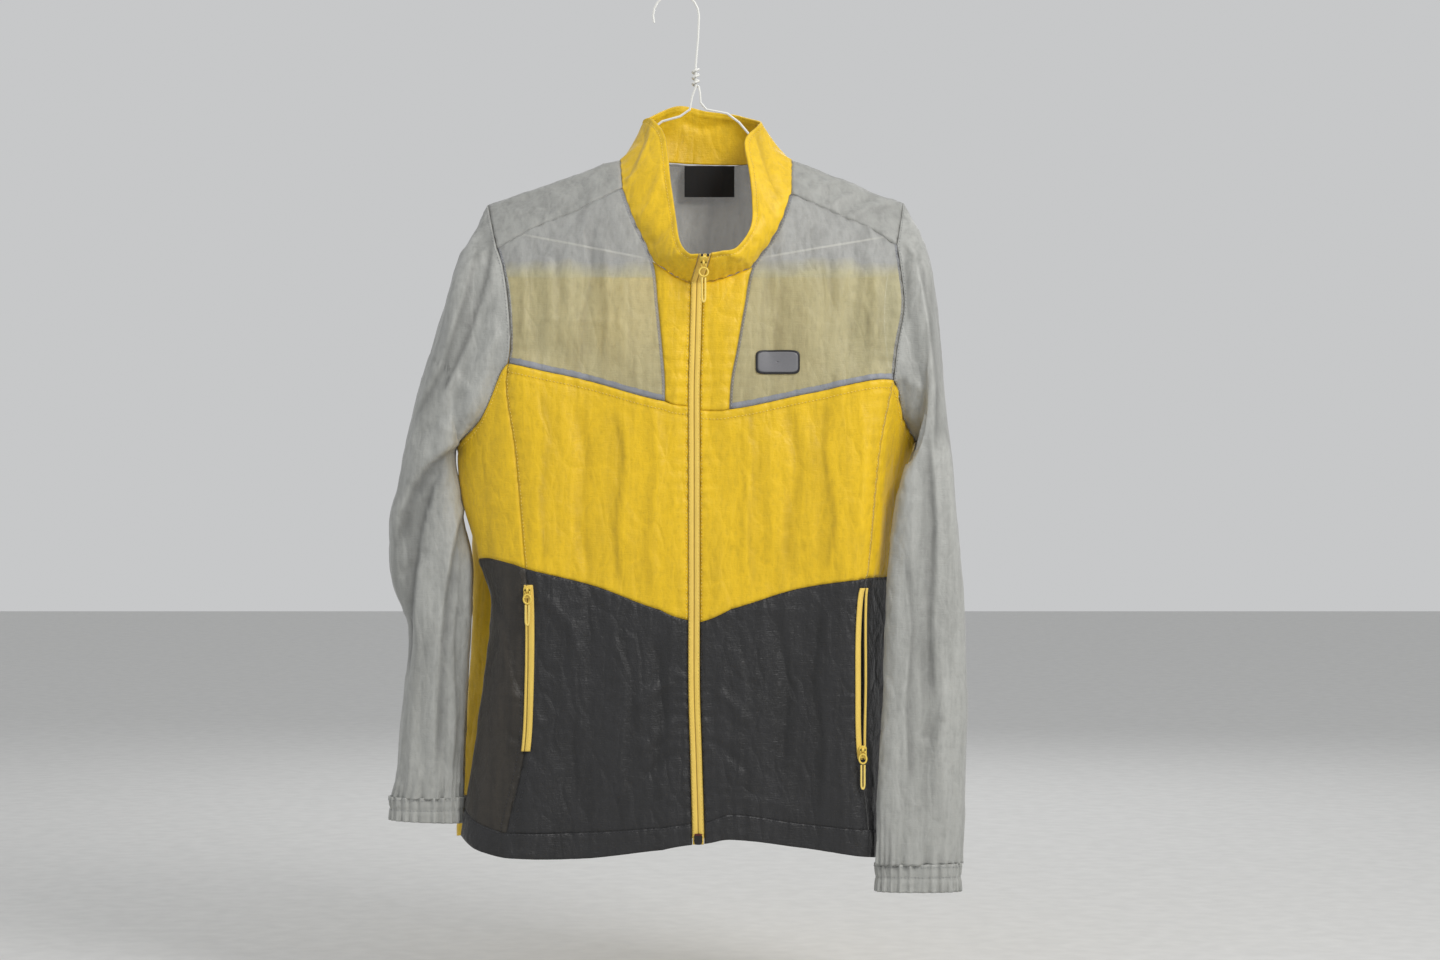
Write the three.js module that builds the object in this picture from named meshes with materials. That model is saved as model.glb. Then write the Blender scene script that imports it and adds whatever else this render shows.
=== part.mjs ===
// Windbreaker jacket on a wire hanger.
// X runs to the wearer's left, Y to the back and Z up, in millimetres.
// The origin is the top inside of the hanger's hook, where the hanger is held.
import * as THREE from 'three';

// Driving sizes
const WALL = 1.4;
const COLLAR_WALL = 2;
const SEAM_GAP = 0.36;
const FRONT_DEPTH = 70;
const FRONT_FALL = 64;
const BACK_DEPTH = 52;
const BACK_FALL = 46;
const WIRE = 2.6;
const WIRE_CLEARANCE = 4.6;
const ZIP_TAPE = 5.6;
const POCKET_TAPE = 4.6;
const BACK_SEAM_Z = -284;
const CUFF_GATHERS = 26;
const CUFF_RELIEF = 1.6;

// Colours as sRGB hex, with roughness
const GREY = { color: 0xaaaba6, roughness: 0.62 };
const YELLOW = { color: 0xe0b62a, roughness: 0.6 };
const CHARCOAL = { color: 0x2d2d30, roughness: 0.6 };
const TAPE = { color: 0xeccd60, roughness: 0.75 };
const DARK = { color: 0x1c1c1e, roughness: 0.5 };
const BADGE_GREY = { color: 0x8f9092, roughness: 0.55 };
const WHITE = { color: 0xe8e8e4, roughness: 0.35 };

// Height of the shoulder line over the wire, at each place across
const SHOULDER = [
  { x: -200, z: -219 },
  { x: -191, z: -214 },
  { x: -152, z: -200 },
  { x: -101, z: -183 },
  { x: -58, z: -168 },
  { x: 31, z: -160 },
  { x: 118, z: -168 },
  { x: 193, z: -199 },
  { x: 231, z: -212 },
  { x: 244, z: -219 },
];

// Lines that run down the front, as x at each height
const FRONT_LINES = [
  { z: -196, rightPrincess: -200, rightWedge: -55, zip: 24, leftWedge: 118, leftPrincess: 216 },
  { z: -232, rightPrincess: -188, rightWedge: -42, zip: 23, leftWedge: 107, leftPrincess: 218 },
  { z: -257, rightPrincess: -180, rightWedge: -30, zip: 23, leftWedge: 94, leftPrincess: 222 },
  { z: -281, rightPrincess: -172, rightWedge: -21, zip: 22, leftWedge: 77, leftPrincess: 225 },
  { z: -320, rightPrincess: -166, rightWedge: -17, zip: 21, leftWedge: 69, leftPrincess: 228 },
  { z: -360, rightPrincess: -164, rightWedge: -13, zip: 20, leftWedge: 62, leftPrincess: 221 },
  { z: -400, rightPrincess: -168, rightWedge: -10, zip: 19, leftWedge: 55, leftPrincess: 216 },
  { z: -463, rightPrincess: -159, rightWedge: -12, zip: 19, leftWedge: 54, leftPrincess: 204 },
  { z: -577, rightPrincess: -149, rightWedge: -14, zip: 19, leftWedge: 56, leftPrincess: 193 },
  { z: -610, rightPrincess: -146, rightWedge: -14, zip: 19, leftWedge: 56, leftPrincess: 187 },
  { z: -700, rightPrincess: -146, rightWedge: -14, zip: 19, leftWedge: 56, leftPrincess: 186 },
  { z: -768, rightPrincess: -150, rightWedge: -13, zip: 21, leftWedge: 56, leftPrincess: 186 },
  { z: -842, rightPrincess: -167, rightWedge: -12, zip: 23, leftWedge: 56, leftPrincess: 193 },
  { z: -874, rightPrincess: -170, rightWedge: -12, zip: 23, leftWedge: 56, leftPrincess: 194 },
];

// Section of each side between princess seam and back, at each height
const RIGHT_SIDE = [
  { z: -196, turnX: -206, turnY: -8, edgeX: -210, edgeY: 2, seamX: -206, seamY: 10, backX: -196, backY: 14 },
  { z: -260, turnX: -194, turnY: -24, edgeX: -206, edgeY: -2, seamX: -202, seamY: 12, backX: -178, backY: 32 },
  { z: -330, turnX: -184, turnY: -46, edgeX: -208, edgeY: -14, seamX: -205, seamY: 12, backX: -170, backY: 44 },
  { z: -400, turnX: -190, turnY: -52, edgeX: -214, edgeY: -20, seamX: -209, seamY: 8, backX: -184, backY: 42 },
  { z: -457, turnX: -198, turnY: -50, edgeX: -219, edgeY: -24, seamX: -208, seamY: 6, backX: -202, backY: 38 },
  { z: -504, turnX: -194, turnY: -52, edgeX: -216, edgeY: -28, seamX: -198, seamY: 2, backX: -208, backY: 32 },
  { z: -560, turnX: -184, turnY: -56, edgeX: -201, edgeY: -36, seamX: -182, seamY: -4, backX: -209, backY: 26 },
  { z: -616, turnX: -171, turnY: -62, edgeX: -184, edgeY: -44, seamX: -168, seamY: -10, backX: -208, backY: 22 },
  { z: -667, turnX: -174, turnY: -62, edgeX: -188, edgeY: -44, seamX: -171, seamY: -10, backX: -210, backY: 22 },
  { z: -721, turnX: -180, turnY: -62, edgeX: -195, edgeY: -44, seamX: -177, seamY: -10, backX: -214, backY: 23 },
  { z: -774, turnX: -187, turnY: -62, edgeX: -203, edgeY: -44, seamX: -184, seamY: -9, backX: -218, backY: 24 },
  { z: -842, turnX: -198, turnY: -61, edgeX: -214, edgeY: -42, seamX: -195, seamY: -8, backX: -223, backY: 25 },
  { z: -874, turnX: -200, turnY: -61, edgeX: -216, edgeY: -42, seamX: -198, seamY: -8, backX: -224, backY: 25 },
];
const LEFT_SIDE = [
  { z: -196, turnX: 240, turnY: -8, edgeX: 246, edgeY: 0, seamX: 242, seamY: 8, backX: 232, backY: 12 },
  { z: -257, turnX: 233, turnY: -22, edgeX: 242, edgeY: -2, seamX: 238, seamY: 12, backX: 220, backY: 30 },
  { z: -330, turnX: 236, turnY: -44, edgeX: 242, edgeY: -12, seamX: 239, seamY: 14, backX: 214, backY: 42 },
  { z: -400, turnX: 231, turnY: -48, edgeX: 243, edgeY: -16, seamX: 240, seamY: 10, backX: 222, backY: 40 },
  { z: -457, turnX: 223, turnY: -46, edgeX: 241, edgeY: -14, seamX: 238, seamY: 10, backX: 228, backY: 34 },
  { z: -504, turnX: 216, turnY: -45, edgeX: 238, edgeY: -10, seamX: 234, seamY: 12, backX: 226, backY: 34 },
  { z: -616, turnX: 209, turnY: -44, edgeX: 233, edgeY: -6, seamX: 229, seamY: 14, backX: 222, backY: 34 },
  { z: -842, turnX: 207, turnY: -43, edgeX: 230, edgeY: -6, seamX: 226, seamY: 14, backX: 218, backY: 35 },
  { z: -874, turnX: 207, turnY: -43, edgeX: 230, edgeY: -6, seamX: 226, seamY: 14, backX: 218, backY: 35 },
];

// Ring columns, counted from the zip round the wearer's left side to the back
const COLUMN = {
  zip: 0,
  zipEdgeLeft: 1,
  wedgeLeft: 2,
  middleLeft: 3,
  princessLeft: 4,
  turnLeft: 5,
  edgeLeft: 6,
  sideLeft: 7,
  backEdgeLeft: 8,
  backMiddleLeft: 9,
  backCentre: 10,
  backMiddleRight: 11,
  backEdgeRight: 12,
  sideRight: 13,
  edgeRight: 14,
  turnRight: 15,
  princessRight: 16,
  middleRight: 17,
  wedgeRight: 18,
  zipEdgeRight: 19,
};
const COLUMNS = 20;

// Heights of the seams that run round, at each ring column
const ROUND_SEAMS = [
  { column: -4, chest: -377, waist: -581, stitch: -843, hem: -868 },
  { column: -3, chest: -394, waist: -598, stitch: -843, hem: -869 },
  { column: -2, chest: -415, waist: -622, stitch: -838, hem: -860 },
  { column: -1, chest: -420, waist: -632, stitch: -834, hem: -855 },
  { column: 0, chest: -422, waist: -634, stitch: -834, hem: -855 },
  { column: 1, chest: -424, waist: -634, stitch: -833, hem: -854 },
  { column: 2, chest: -423, waist: -621, stitch: -825, hem: -850 },
  { column: 3, chest: -407, waist: -601, stitch: -834, hem: -858 },
  { column: 4, chest: -394, waist: -591, stitch: -840, hem: -867 },
  { column: 5, chest: -430, waist: -590, stitch: -842, hem: -868 },
  { column: 6, chest: -455, waist: -589, stitch: -842, hem: -867 },
  { column: 7, chest: -452, waist: -588, stitch: -841, hem: -866 },
  { column: 8, chest: -400, waist: -588, stitch: -840, hem: -865 },
  { column: 10, chest: -400, waist: -588, stitch: -838, hem: -863 },
  { column: 12, chest: -400, waist: -580, stitch: -832, hem: -857 },
  { column: 13, chest: -452, waist: -576, stitch: -822, hem: -848 },
  { column: 14, chest: -457, waist: -572, stitch: -822, hem: -848 },
  { column: 15, chest: -434, waist: -572, stitch: -834, hem: -860 },
  { column: 16, chest: -377, waist: -581, stitch: -843, hem: -868 },
  { column: 17, chest: -394, waist: -598, stitch: -843, hem: -869 },
  { column: 18, chest: -415, waist: -622, stitch: -838, hem: -860 },
  { column: 19, chest: -420, waist: -632, stitch: -834, hem: -855 },
  { column: 20, chest: -422, waist: -634, stitch: -834, hem: -855 },
  { column: 21, chest: -424, waist: -634, stitch: -833, hem: -854 },
];

// Forward shoulder seams, as heights across
const SHOULDER_SEAM = [
  { x: -179, z: -261 },
  { x: -136, z: -237 },
  { x: -100, z: -222 },
  { x: -54, z: -199 },
  { x: -40, z: -192 },
  { x: 103, z: -199 },
  { x: 117, z: -205 },
  { x: 154, z: -222 },
  { x: 192, z: -239 },
  { x: 222, z: -257 },
];

// Places where the yoke's columns start at the armhole and end at the neck
const YOKE_SPANS = {
  seam: { rightArm: -179, rightNeck: -54, leftNeck: 117, leftArm: 222 },
  ridge: { rightArm: -191, rightNeck: -57, leftNeck: 118, leftArm: 231 },
  back: { rightArm: -176, rightNeck: -62, leftNeck: 124, leftArm: 217 },
};

// Back of the neck seam, across
const BACK_NECK = [
  { along: 0, x: -57, y: 0, z: -168 },
  { along: 0.15, x: -47, y: 22, z: -164 },
  { along: 0.35, x: -10, y: 40, z: -167 },
  { along: 0.5, x: 31, y: 44, z: -169 },
  { along: 0.65, x: 72, y: 41, z: -169 },
  { along: 0.85, x: 108, y: 22, z: -164 },
  { along: 1, x: 118, y: 0, z: -168 },
];

// Top edge of the collar, from the zip round the wearer's left side
const COLLAR_TOP = [
  { along: 0, x: 36.4, y: -90, z: -270 },
  { along: 0.06, x: 46, y: -88, z: -268 },
  { along: 0.12, x: 62, y: -82, z: -263 },
  { along: 0.17, x: 75, y: -68, z: -242 },
  { along: 0.235, x: 77, y: -50, z: -212 },
  { along: 0.28, x: 74, y: -34, z: -180 },
  { along: 0.32, x: 70, y: -16, z: -150 },
  { along: 0.36, x: 84, y: -2, z: -133 },
  { along: 0.4, x: 85, y: 12, z: -127 },
  { along: 0.45, x: 62, y: 32, z: -119 },
  { along: 0.5, x: 31, y: 40, z: -114 },
  { along: 0.55, x: 0, y: 36, z: -109 },
  { along: 0.6, x: -33, y: 12, z: -126 },
  { along: 0.64, x: -26, y: -2, z: -126 },
  { along: 0.68, x: -13, y: -18, z: -142 },
  { along: 0.72, x: -8, y: -34, z: -168 },
  { along: 0.765, x: -5, y: -50, z: -196 },
  { along: 0.82, x: 1, y: -66, z: -234 },
  { along: 0.88, x: 5, y: -80, z: -258 },
  { along: 0.94, x: 14, y: -88, z: -270 },
  { along: 1, x: 23.6, y: -90, z: -271 },
];

// Sleeve sections: outer line, inner line and half the flat depth
const RIGHT_SLEEVE = [
  { outX: -212, outY: -4, outZ: -258, inX: -222, inY: -16, inZ: -459, half: 53 },
  { outX: -237, outY: -6, outZ: -329, inX: -223, inY: -18, inZ: -467, half: 48 },
  { outX: -256, outY: -9, outZ: -392, inX: -223, inY: -20, inZ: -478, half: 42 },
  { outX: -268, outY: -12, outZ: -442, inX: -221, inY: -21, inZ: -492, half: 37 },
  { outX: -275, outY: -15, outZ: -495, inX: -219, inY: -22, inZ: -513, half: 33 },
  { outX: -284, outY: -17, outZ: -535, inX: -213, inY: -22, inZ: -542, half: 31 },
  { outX: -288, outY: -18, outZ: -572, inX: -206, inY: -22, inZ: -572, half: 30 },
  { outX: -284, outY: -20, outZ: -600, inX: -206, inY: -22, inZ: -602, half: 28 },
  { outX: -270, outY: -21, outZ: -640, inX: -207, inY: -22, inZ: -640, half: 27 },
  { outX: -272, outY: -22, outZ: -696, inX: -209, inY: -22, inZ: -696, half: 26 },
  { outX: -277, outY: -22, outZ: -750, inX: -211, inY: -22, inZ: -750, half: 26 },
  { outX: -280, outY: -22, outZ: -790, inX: -212, inY: -22, inZ: -790, half: 26 },
  { outX: -284, outY: -22, outZ: -812, inX: -213, inY: -22, inZ: -812, half: 24 },
];
const LEFT_SLEEVE = [
  { outX: 250, outY: -8, outZ: -250, inX: 248, inY: -22, inZ: -455, half: 50 },
  { outX: 262, outY: -18, outZ: -310, inX: 245, inY: -38, inZ: -461, half: 41 },
  { outX: 268, outY: -30, outZ: -380, inX: 237, inY: -51, inZ: -471, half: 33 },
  { outX: 273, outY: -42, outZ: -440, inX: 228, inY: -60, inZ: -488, half: 27 },
  { outX: 279, outY: -52, outZ: -505, inX: 219, inY: -63, inZ: -520, half: 23 },
  { outX: 285, outY: -58, outZ: -573, inX: 213, inY: -66, inZ: -575, half: 20 },
  { outX: 288, outY: -60, outZ: -640, inX: 210, inY: -67, inZ: -640, half: 19 },
  { outX: 289, outY: -62, outZ: -703, inX: 207, inY: -68, inZ: -703, half: 18 },
  { outX: 289, outY: -62, outZ: -765, inX: 203, inY: -69, inZ: -765, half: 18 },
  { outX: 288, outY: -61, outZ: -820, inX: 200, inY: -70, inZ: -820, half: 18 },
  { outX: 284, outY: -60, outZ: -874, inX: 200, inY: -70, inZ: -874, half: 17 },
];

// Cuffs: top and bottom of each band
const CUFFS = {
  right: { outX: -287, inX: -212, y: -22, top: -812.6, bottom: -836, half: 23, tilt: 1.5 },
  left: { outX: 283, inX: 200, y: -65, top: -874.6, bottom: -901, half: 16, tilt: 0 },
};

// Wire route: hook tip, hook, neck, right arm, bar, left arm and the twist
const HOOK = { radius: 23.3, tipDegrees: 198, stepDegrees: 18 };
const HOOK_NECK = [
  { x: 22.4, z: -44 },
  { x: 20.8, z: -62 },
];
const NECK_X = 20;
const TWIST = { top: -76, bottom: -94, turns: 3, radius: 3.2 };
const RIGHT_ARM = [
  { x: 16.4, z: -104 },
  { x: 14, z: -117 },
  { x: 4, z: -124 },
  { x: -14, z: -129 },
  { x: -24, z: -137 },
  { x: -36, z: -150 },
  { x: -46, z: -165 },
  { x: -55, z: -173 },
];
const LEFT_ARM = [
  { x: 116, z: -173.5 },
  { x: 107, z: -171 },
  { x: 97, z: -164 },
  { x: 86, z: -154 },
  { x: 75, z: -143 },
  { x: 64, z: -130 },
  { x: 52, z: -121 },
  { x: 31, z: -117 },
  { x: 25, z: -110 },
  { x: 24.2, z: -100 },
];
const ARM_STEPS = [-68, -84, -104, -126, -150, -172];
const LEFT_ARM_STEPS = [214, 192, 168, 146, 126];
const BAR = [
  { x: -186, z: -220 },
  { x: -184, z: -231 },
  { x: -174, z: -240 },
  { x: -153, z: -246 },
  { x: -92, z: -258 },
  { x: -34, z: -270 },
  { x: 10, z: -279 },
  { x: 28, z: -282 },
  { x: 46, z: -279 },
  { x: 91, z: -269 },
  { x: 150, z: -258 },
  { x: 206, z: -248 },
  { x: 226, z: -241 },
  { x: 233, z: -231 },
  { x: 231, z: -221 },
];

// Soft vertical folds that the front and back fall into
const FOLDS = [
  { side: 'front', x: -128, top: -255, bottom: -370, depth: 4, width: 13, lean: 0.1 },
  { side: 'front', x: -88, top: -240, bottom: -400, depth: -4, width: 15, lean: 0.05 },
  { side: 'front', x: -52, top: -260, bottom: -400, depth: 3, width: 12, lean: 0 },
  { side: 'front', x: 96, top: -270, bottom: -400, depth: -4, width: 14, lean: 0 },
  { side: 'front', x: 142, top: -240, bottom: -385, depth: 4, width: 15, lean: -0.1 },
  { side: 'front', x: 184, top: -260, bottom: -380, depth: -4, width: 13, lean: -0.1 },
  { side: 'front', x: -112, top: -430, bottom: -600, depth: 4, width: 18, lean: 0.05 },
  { side: 'front', x: -60, top: -440, bottom: -640, depth: -4, width: 22, lean: 0 },
  { side: 'front', x: 88, top: -440, bottom: -620, depth: -4, width: 22, lean: 0 },
  { side: 'front', x: 140, top: -420, bottom: -600, depth: 4, width: 18, lean: -0.05 },
  { side: 'front', x: -104, top: -600, bottom: -874, depth: -5, width: 20, lean: 0.03 },
  { side: 'front', x: -46, top: -650, bottom: -874, depth: 4, width: 18, lean: 0 },
  { side: 'front', x: 96, top: -640, bottom: -874, depth: 4, width: 20, lean: 0 },
  { side: 'front', x: 146, top: -620, bottom: -874, depth: -5, width: 20, lean: -0.03 },
  { side: 'back', x: -120, top: -300, bottom: -874, depth: 6, width: 22, lean: 0.02 },
  { side: 'back', x: -60, top: -320, bottom: -874, depth: -6, width: 24, lean: 0 },
  { side: 'back', x: 8, top: -300, bottom: -874, depth: 5, width: 22, lean: 0 },
  { side: 'back', x: 78, top: -330, bottom: -874, depth: -6, width: 26, lean: 0 },
  { side: 'back', x: 146, top: -310, bottom: -874, depth: 6, width: 22, lean: -0.02 },
];

const lerp = THREE.MathUtils.lerp;
const clamp = THREE.MathUtils.clamp;
const smooth = THREE.MathUtils.smoothstep;

// Value of a table's column at any place, on a smooth line through its rows
function track(rows, column, along = 'z') {
  const sign = rows[rows.length - 1][along] > rows[0][along] ? 1 : -1;
  const slope = (i) => {
    const a = rows[Math.max(i - 1, 0)];
    const b = rows[Math.min(i + 1, rows.length - 1)];
    return (b[column] - a[column]) / (b[along] - a[along]);
  };
  return (place) => {
    const low = rows[0][along];
    const high = rows[rows.length - 1][along];
    const at = sign > 0 ? clamp(place, low, high) : clamp(place, high, low);
    let i = 0;
    while (i < rows.length - 2 && sign * at > sign * rows[i + 1][along]) i++;
    const span = rows[i + 1][along] - rows[i][along];
    const t = (at - rows[i][along]) / span;
    const a = rows[i][column];
    const b = rows[i + 1][column];
    const ma = slope(i) * span;
    const mb = slope(i + 1) * span;
    return a + t * (ma + t * (3 * (b - a) - 2 * ma - mb + t * (ma + mb - 2 * (b - a))));
  };
}

const shoulderZ = track(SHOULDER, 'z', 'x');
const shoulderSeamZ = track(SHOULDER_SEAM, 'z', 'x');
const chestZ = track(ROUND_SEAMS, 'chest', 'column');
const waistZ = track(ROUND_SEAMS, 'waist', 'column');
const stitchZ = track(ROUND_SEAMS, 'stitch', 'column');
const hemZ = track(ROUND_SEAMS, 'hem', 'column');

// How far the folds push the cloth out of its plain form
function foldDepth(side, x, z) {
  let depth = 0;
  for (const fold of FOLDS) {
    if (fold.side !== side) continue;
    const middle = fold.x + fold.lean * (fold.top - z);
    const across = (x - middle) / fold.width;
    const length = fold.top - fold.bottom;
    const down = smooth(fold.top - z, 0, 0.35 * length);
    const open = fold.bottom <= -874 ? 1 : 1 - smooth(fold.top - z, 0.7 * length, length);
    depth += fold.depth * Math.exp(-across * across) * down * open;
  }
  return depth;
}

// Depth of the front and of the back, falling away below the shoulder line
function frontY(x, z) {
  const below = Math.max(shoulderZ(x) - z, 0);
  return -FRONT_DEPTH * (1 - Math.exp(-below / FRONT_FALL)) - foldDepth('front', x, z);
}
function backY(x, z) {
  const below = Math.max(shoulderZ(x) - z, 0);
  return BACK_DEPTH * (1 - Math.exp(-below / BACK_FALL)) + foldDepth('back', x, z);
}

const lines = {};
for (const name of ['rightPrincess', 'rightWedge', 'zip', 'leftWedge', 'leftPrincess']) {
  lines[name] = track(FRONT_LINES, name);
}
const sides = { right: {}, left: {} };
for (const name of ['turnX', 'turnY', 'edgeX', 'edgeY', 'seamX', 'seamY', 'backX', 'backY']) {
  sides.right[name] = track(RIGHT_SIDE, name);
  sides.left[name] = track(LEFT_SIDE, name);
}

// The section of the body at a height, as its columns' places in plan
function section(z) {
  const front = (x) => [x, frontY(x, z)];
  const back = (x) => [x, backY(x, z)];
  const zip = lines.zip(z);
  const flank = (side) => [
    [side.turnX(z), side.turnY(z)],
    [side.edgeX(z), side.edgeY(z)],
    [side.seamX(z), side.seamY(z)],
    [side.backX(z), side.backY(z)],
  ];
  const leftBack = sides.left.backX(z);
  const rightBack = sides.right.backX(z);
  const leftMiddle = lerp(lines.leftWedge(z), lines.leftPrincess(z), 0.5);
  const rightMiddle = lerp(lines.rightWedge(z), lines.rightPrincess(z), 0.5);
  return [
    front(zip),
    front(zip + ZIP_TAPE + SEAM_GAP),
    front(lines.leftWedge(z)),
    front(leftMiddle),
    front(lines.leftPrincess(z)),
    ...flank(sides.left),
    back(lerp(zip, leftBack, 0.5)),
    back(zip),
    back(lerp(zip, rightBack, 0.5)),
    ...flank(sides.right).reverse(),
    front(lines.rightPrincess(z)),
    front(rightMiddle),
    front(lines.rightWedge(z)),
    front(zip - ZIP_TAPE - SEAM_GAP),
  ];
}

// A place on the body, by ring column and height
function bodyPoint(column, z) {
  const ring = section(z);
  const turned = ((column % COLUMNS) + COLUMNS) % COLUMNS;
  const i = Math.min(Math.floor(turned), COLUMNS - 1);
  const t = turned - i;
  const at = (k) => ring[(k + COLUMNS) % COLUMNS];
  const span = (k) => Math.hypot(at(k + 1)[0] - at(k)[0], at(k + 1)[1] - at(k)[1]) + 0.001;
  const before = span(i - 1);
  const here = span(i);
  const after = span(i + 1);
  const value = (axis) => {
    const a = at(i)[axis];
    const b = at(i + 1)[axis];
    const rise = (b - a) / here;
    const ma = here * lerp((a - at(i - 1)[axis]) / before, rise, before / (before + here));
    const mb = here * lerp(rise, (at(i + 2)[axis] - b) / after, here / (here + after));
    return a + t * (ma + t * (3 * (b - a) - 2 * ma - mb + t * (ma + mb - 2 * (b - a))));
  };
  return new THREE.Vector3(value(0), value(1), z);
}

// Millimetres along the ring for one step of column, near a place
function columnLength(column, z) {
  const step = 0.02;
  return bodyPoint(column - step, z).distanceTo(bodyPoint(column + step, z)) / (2 * step);
}

// Closed wall from two layers of a grid; cells that the hole names stay open
function wallSolid(outer, inner, closed = false, hole = () => false) {
  const rows = outer.length;
  const columns = outer[0].length;
  const across = closed ? columns : columns - 1;
  const filled = (j, i) => {
    if (j < 0 || j >= rows - 1) return false;
    if (!closed && (i < 0 || i >= across)) return false;
    return !hole(j, (i + across) % across);
  };
  const positions = [];
  const numbers = new Map();
  const corner = (layer, j, i) => {
    const key = (layer * rows + j) * columns + (i % columns);
    if (!numbers.has(key)) {
      numbers.set(key, positions.length / 3);
      const point = (layer ? inner : outer)[j][i % columns];
      positions.push(point.x, point.y, point.z);
    }
    return numbers.get(key);
  };
  const index = [];
  const quad = (a, b, c, d) => index.push(a, b, c, a, c, d);
  for (let j = 0; j < rows - 1; j++) {
    for (let i = 0; i < across; i++) {
      if (!filled(j, i)) continue;
      const loop = [[j, i], [j, i + 1], [j + 1, i + 1], [j + 1, i]];
      const out = loop.map(([row, column]) => corner(0, row, column));
      const into = loop.map(([row, column]) => corner(1, row, column));
      quad(out[0], out[1], out[2], out[3]);
      quad(into[3], into[2], into[1], into[0]);
      const open = [!filled(j - 1, i), !filled(j, i + 1), !filled(j + 1, i), !filled(j, i - 1)];
      for (let k = 0; k < 4; k++) {
        const next = (k + 1) % 4;
        if (open[k]) quad(out[next], out[k], into[k], into[next]);
      }
    }
  }
  const geometry = new THREE.BufferGeometry();
  geometry.setAttribute('position', new THREE.Float32BufferAttribute(positions, 3));
  geometry.setIndex(volume(positions, index) < 0 ? index.reverse() : index);
  return geometry;
}

function volume(positions, index) {
  const corner = (n) => new THREE.Vector3().fromArray(positions, 3 * n);
  let sum = 0;
  for (let i = 0; i < index.length; i += 3) {
    sum += corner(index[i]).dot(corner(index[i + 1]).cross(corner(index[i + 2]))) / 6;
  }
  return sum;
}

// Wall on a surface given by a function of two shares, from one lift to another along its normal
function sheet(point, columns, rows, lifts, outward, hole) {
  const step = 0.004;
  const layers = [[], []];
  for (let j = 0; j <= rows; j++) {
    const rowOuter = [];
    const rowInner = [];
    for (let i = 0; i <= columns; i++) {
      const s = i / columns;
      const t = j / rows;
      const alongS = point(s + step, t).sub(point(s - step, t));
      const alongT = point(s, t + step).sub(point(s, t - step));
      const normal = alongS.cross(alongT).normalize();
      const here = point(s, t);
      if (normal.dot(outward(here)) < 0) normal.negate();
      rowOuter.push(here.clone().addScaledVector(normal, lifts[1]));
      rowInner.push(here.clone().addScaledVector(normal, lifts[0]));
    }
    layers[0].push(rowOuter);
    layers[1].push(rowInner);
  }
  return wallSolid(layers[0], layers[1], false, hole);
}

// Direction that points out of the body at a place
function awayFromBody(point) {
  return new THREE.Vector3((point.x - 21) * 0.5, point.y, 0);
}

const group = new THREE.Group();

function add(name, geometry, { color, roughness, metalness = 0 }) {
  const mesh = new THREE.Mesh(geometry, new THREE.MeshStandardMaterial({ color, roughness, metalness }));
  mesh.name = name;
  group.add(mesh);
}

// Steps across each ring column, so that neighbours above and below share their corners
const FRONT_STEPS = 4;
const SIDE_STEPS = 3;
function stepsIn(column) {
  const turned = ((column % COLUMNS) + COLUMNS) % COLUMNS;
  const onSide = (turned >= 4 && turned < 7) || (turned >= 13 && turned < 16);
  return onSide ? SIDE_STEPS : FRONT_STEPS;
}
function columnStops(from, to) {
  const stops = [from];
  for (let column = from; column < to; column++) {
    const steps = stepsIn(column);
    for (let k = 1; k <= steps; k++) stops.push(column + k / steps);
  }
  return stops;
}

// Ring column at a share of the way through a list of stops
function columnAt(stops, share) {
  const steps = stops.length - 1;
  const i = clamp(Math.floor(share * steps), 0, steps - 1);
  return lerp(stops[i], stops[i + 1], share * steps - i);
}

// Body panel between two ring columns and two heights, pulled in by half a seam gap all round
function panel(name, from, to, top, bottom, rows, finish, lifts = [-WALL, 0], slit = () => [0, 0]) {
  const half = SEAM_GAP / 2;
  const stops = columnStops(from, to);
  const point = (s, t) => {
    const middle = columnAt(stops, s);
    const zNear = lerp(top(middle), bottom(middle), t);
    const [slitFrom, slitTo] = slit(zNear);
    const low = (half + slitFrom) / columnLength(from, zNear);
    const high = (half + slitTo) / columnLength(to, zNear);
    const fade = (middle - from) / (to - from);
    const column = middle + lerp(low, -high, fade);
    const z = lerp(top(middle) - half, bottom(middle) + half, t);
    return bodyPoint(column, z);
  };
  add(name, sheet(point, stops.length - 1, rows, lifts, awayFromBody), finish);
}

// The open left pocket parts its seam by up to this much on each side
const POCKETS = {
  left: { top: -600, bottom: -770, open: 1.9 },
  right: { top: -597, bottom: -762, open: 0 },
};
function pocketSlit(z) {
  const { top, bottom, open } = POCKETS.left;
  const share = clamp((top - z) / (top - bottom), 0, 1);
  return open * Math.sin(Math.PI * share) ** 0.6;
}

const C = COLUMN;

// Heights of the neck seam at the zip and at the wedges' outer corners
const NECK_FRONT = { zip: -296, left: -281, right: -275, bend: 1.6 };
const wedgeTop = (column) => {
  const share = clamp(Math.abs(column) - 1, 0, 1);
  return lerp(NECK_FRONT.zip, column > 0 ? NECK_FRONT.left : NECK_FRONT.right, share ** NECK_FRONT.bend);
};

// Rows of each band of panels; shares of the chest where the wedge begins and where it bends to its seam
const WEDGE_ROWS = 6;
const CHEST_ROWS = 10;
const CHEST_UPPER = 0.4;
const CHEST_JOINS = 0.9;
const MID_ROWS = 4;
const LOWER_ROWS = 8;
const ARM_ROWS = 5;

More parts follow.
